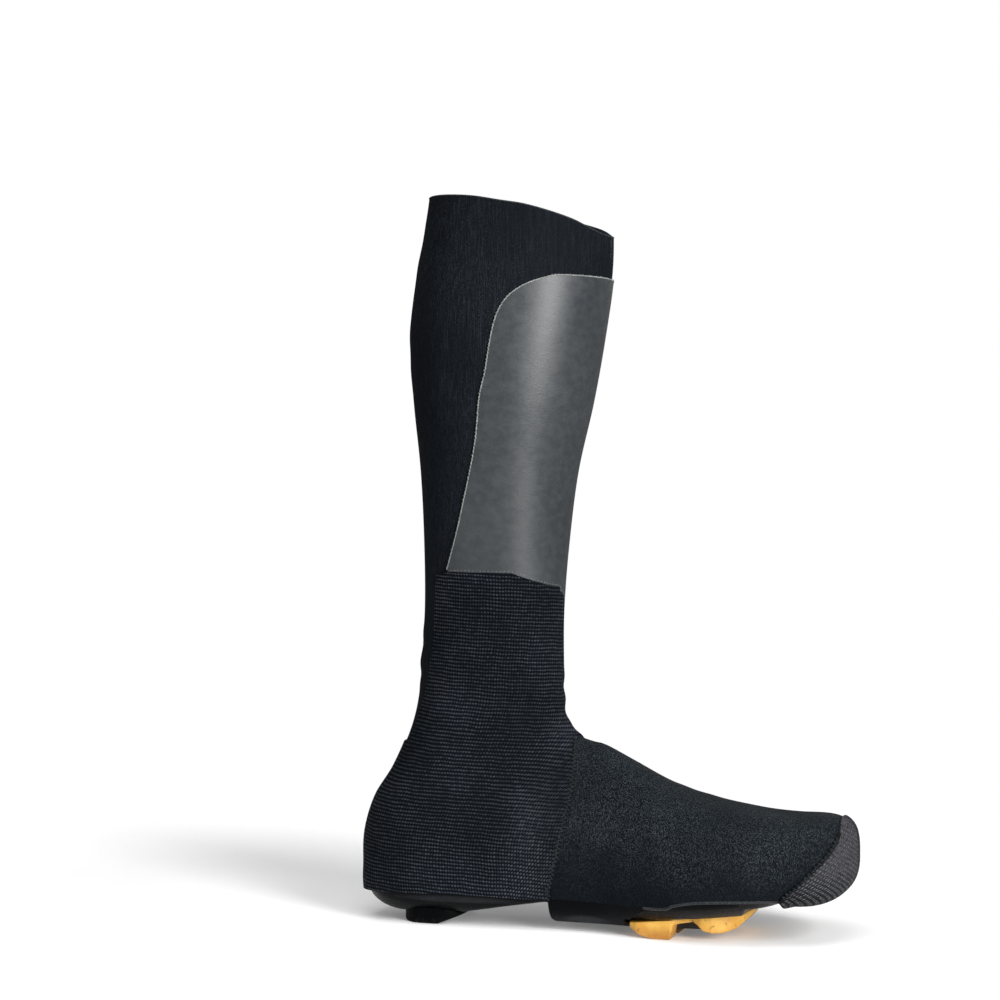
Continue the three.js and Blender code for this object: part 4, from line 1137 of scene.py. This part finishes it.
# THE STUDIO
# A plain pale floor that fades into a white backdrop, under four soft lights. The tall one, ahead of the shoe,
# draws the shin's satin streak. The camera stands level with the calf, 18 degrees ahead of the foot's inner side.
floor_half, floor_top = 9, -0.0002
floor = bpy.data.meshes.new("studio_floor")
floor.from_pydata([(x * floor_half, y * floor_half, floor_top) for x, y in ((-1, -1), (1, -1), (1, 1), (-1, 1))],
                  [], [(0, 1, 2, 3)])
pale = Finish("pale_floor", roughness=0.9, specular_ior_level=0.1)
# The floor glows, faintly beside the shoe and brightly far from it, where it also turns clear, so that it fades into
# the white backdrop
far = pale.ramp(pale.vector("LENGTH", pale.place(), output="Value"), 0.22, 0.62)
pale.wear(base_color=pale.blend(pale.grain(9, 9, 9, 3.0), (0.84, 0.84, 0.84), (0.88, 0.88, 0.88)),
          emission_color=pale.blend(far, (0.15, 0.15, 0.15), (0.6, 0.6, 0.6)), alpha=1 - far)
pale.shader.inputs["Emission Strength"].default_value = 1.0
floor.materials.append(pale.material)
studio_floor = bpy.data.objects.new("studio_floor", floor)
bpy.context.scene.collection.objects.link(studio_floor)

# The backdrop is white to the camera, and only a dim light on the shoe
world = bpy.data.worlds.new("studio")
bpy.context.scene.world = world
world.use_nodes = True
nodes, links = world.node_tree.nodes, world.node_tree.links
either = nodes.new("ShaderNodeMixShader")
links.new(nodes.new("ShaderNodeLightPath").outputs["Is Camera Ray"], either.inputs[0])
for socket, backdrop, strength in ((1, nodes["Background"], 0.16), (2, nodes.new("ShaderNodeBackground"), 1.0)):
    backdrop.inputs["Color"].default_value = (1.0, 1.0, 1.0, 1.0)
    backdrop.inputs["Strength"].default_value = strength
    links.new(backdrop.outputs[0], either.inputs[socket])
links.new(either.outputs[0], nodes["World Output"].inputs[0])

# name, place, aim, width, height, power
for name, at, aim, width, height, power in (
        ("tall_soft_light", (1.31, -1.02, 0.68), (0.06, 0, 0.27), 0.5, 1.3, 44),
        ("wide_top_light", (0.1, -0.9, 1.9), (0.05, 0, 0.1), 1.6, 1.2, 22),
        ("heel_side_light", (-0.9, -1.5, 0.9), (0.0, 0, 0.15), 0.8, 1.2, 5),
        ("outer_side_light", (0.1, 1.8, 1.1), (0.05, 0, 0.2), 1.2, 1.2, 6)):
    light = bpy.data.lights.new(name, "AREA")
    light.shape, light.size, light.size_y, light.energy = "RECTANGLE", width, height, power
    lamp = bpy.data.objects.new(name, light)
    lamp.location = at
    x, y, z = np.subtract(aim, at)
    lamp.rotation_euler = (math.atan2(math.hypot(x, y), -z), 0, math.atan2(y, x) - math.pi / 2)
    bpy.context.scene.collection.objects.link(lamp)

lens = bpy.data.cameras.new("photo_view")
lens.lens, lens.sensor_width, lens.shift_y = 86.4, 36, -0.006
camera = bpy.data.objects.new("photo_view", lens)
camera.location = (0.4749, -1.3315, 0.248)
camera.rotation_euler = (math.pi / 2, 0, math.radians(18))
bpy.context.scene.collection.objects.link(camera)
bpy.context.scene.camera = camera
bpy.context.scene.view_settings.view_transform = "Standard"
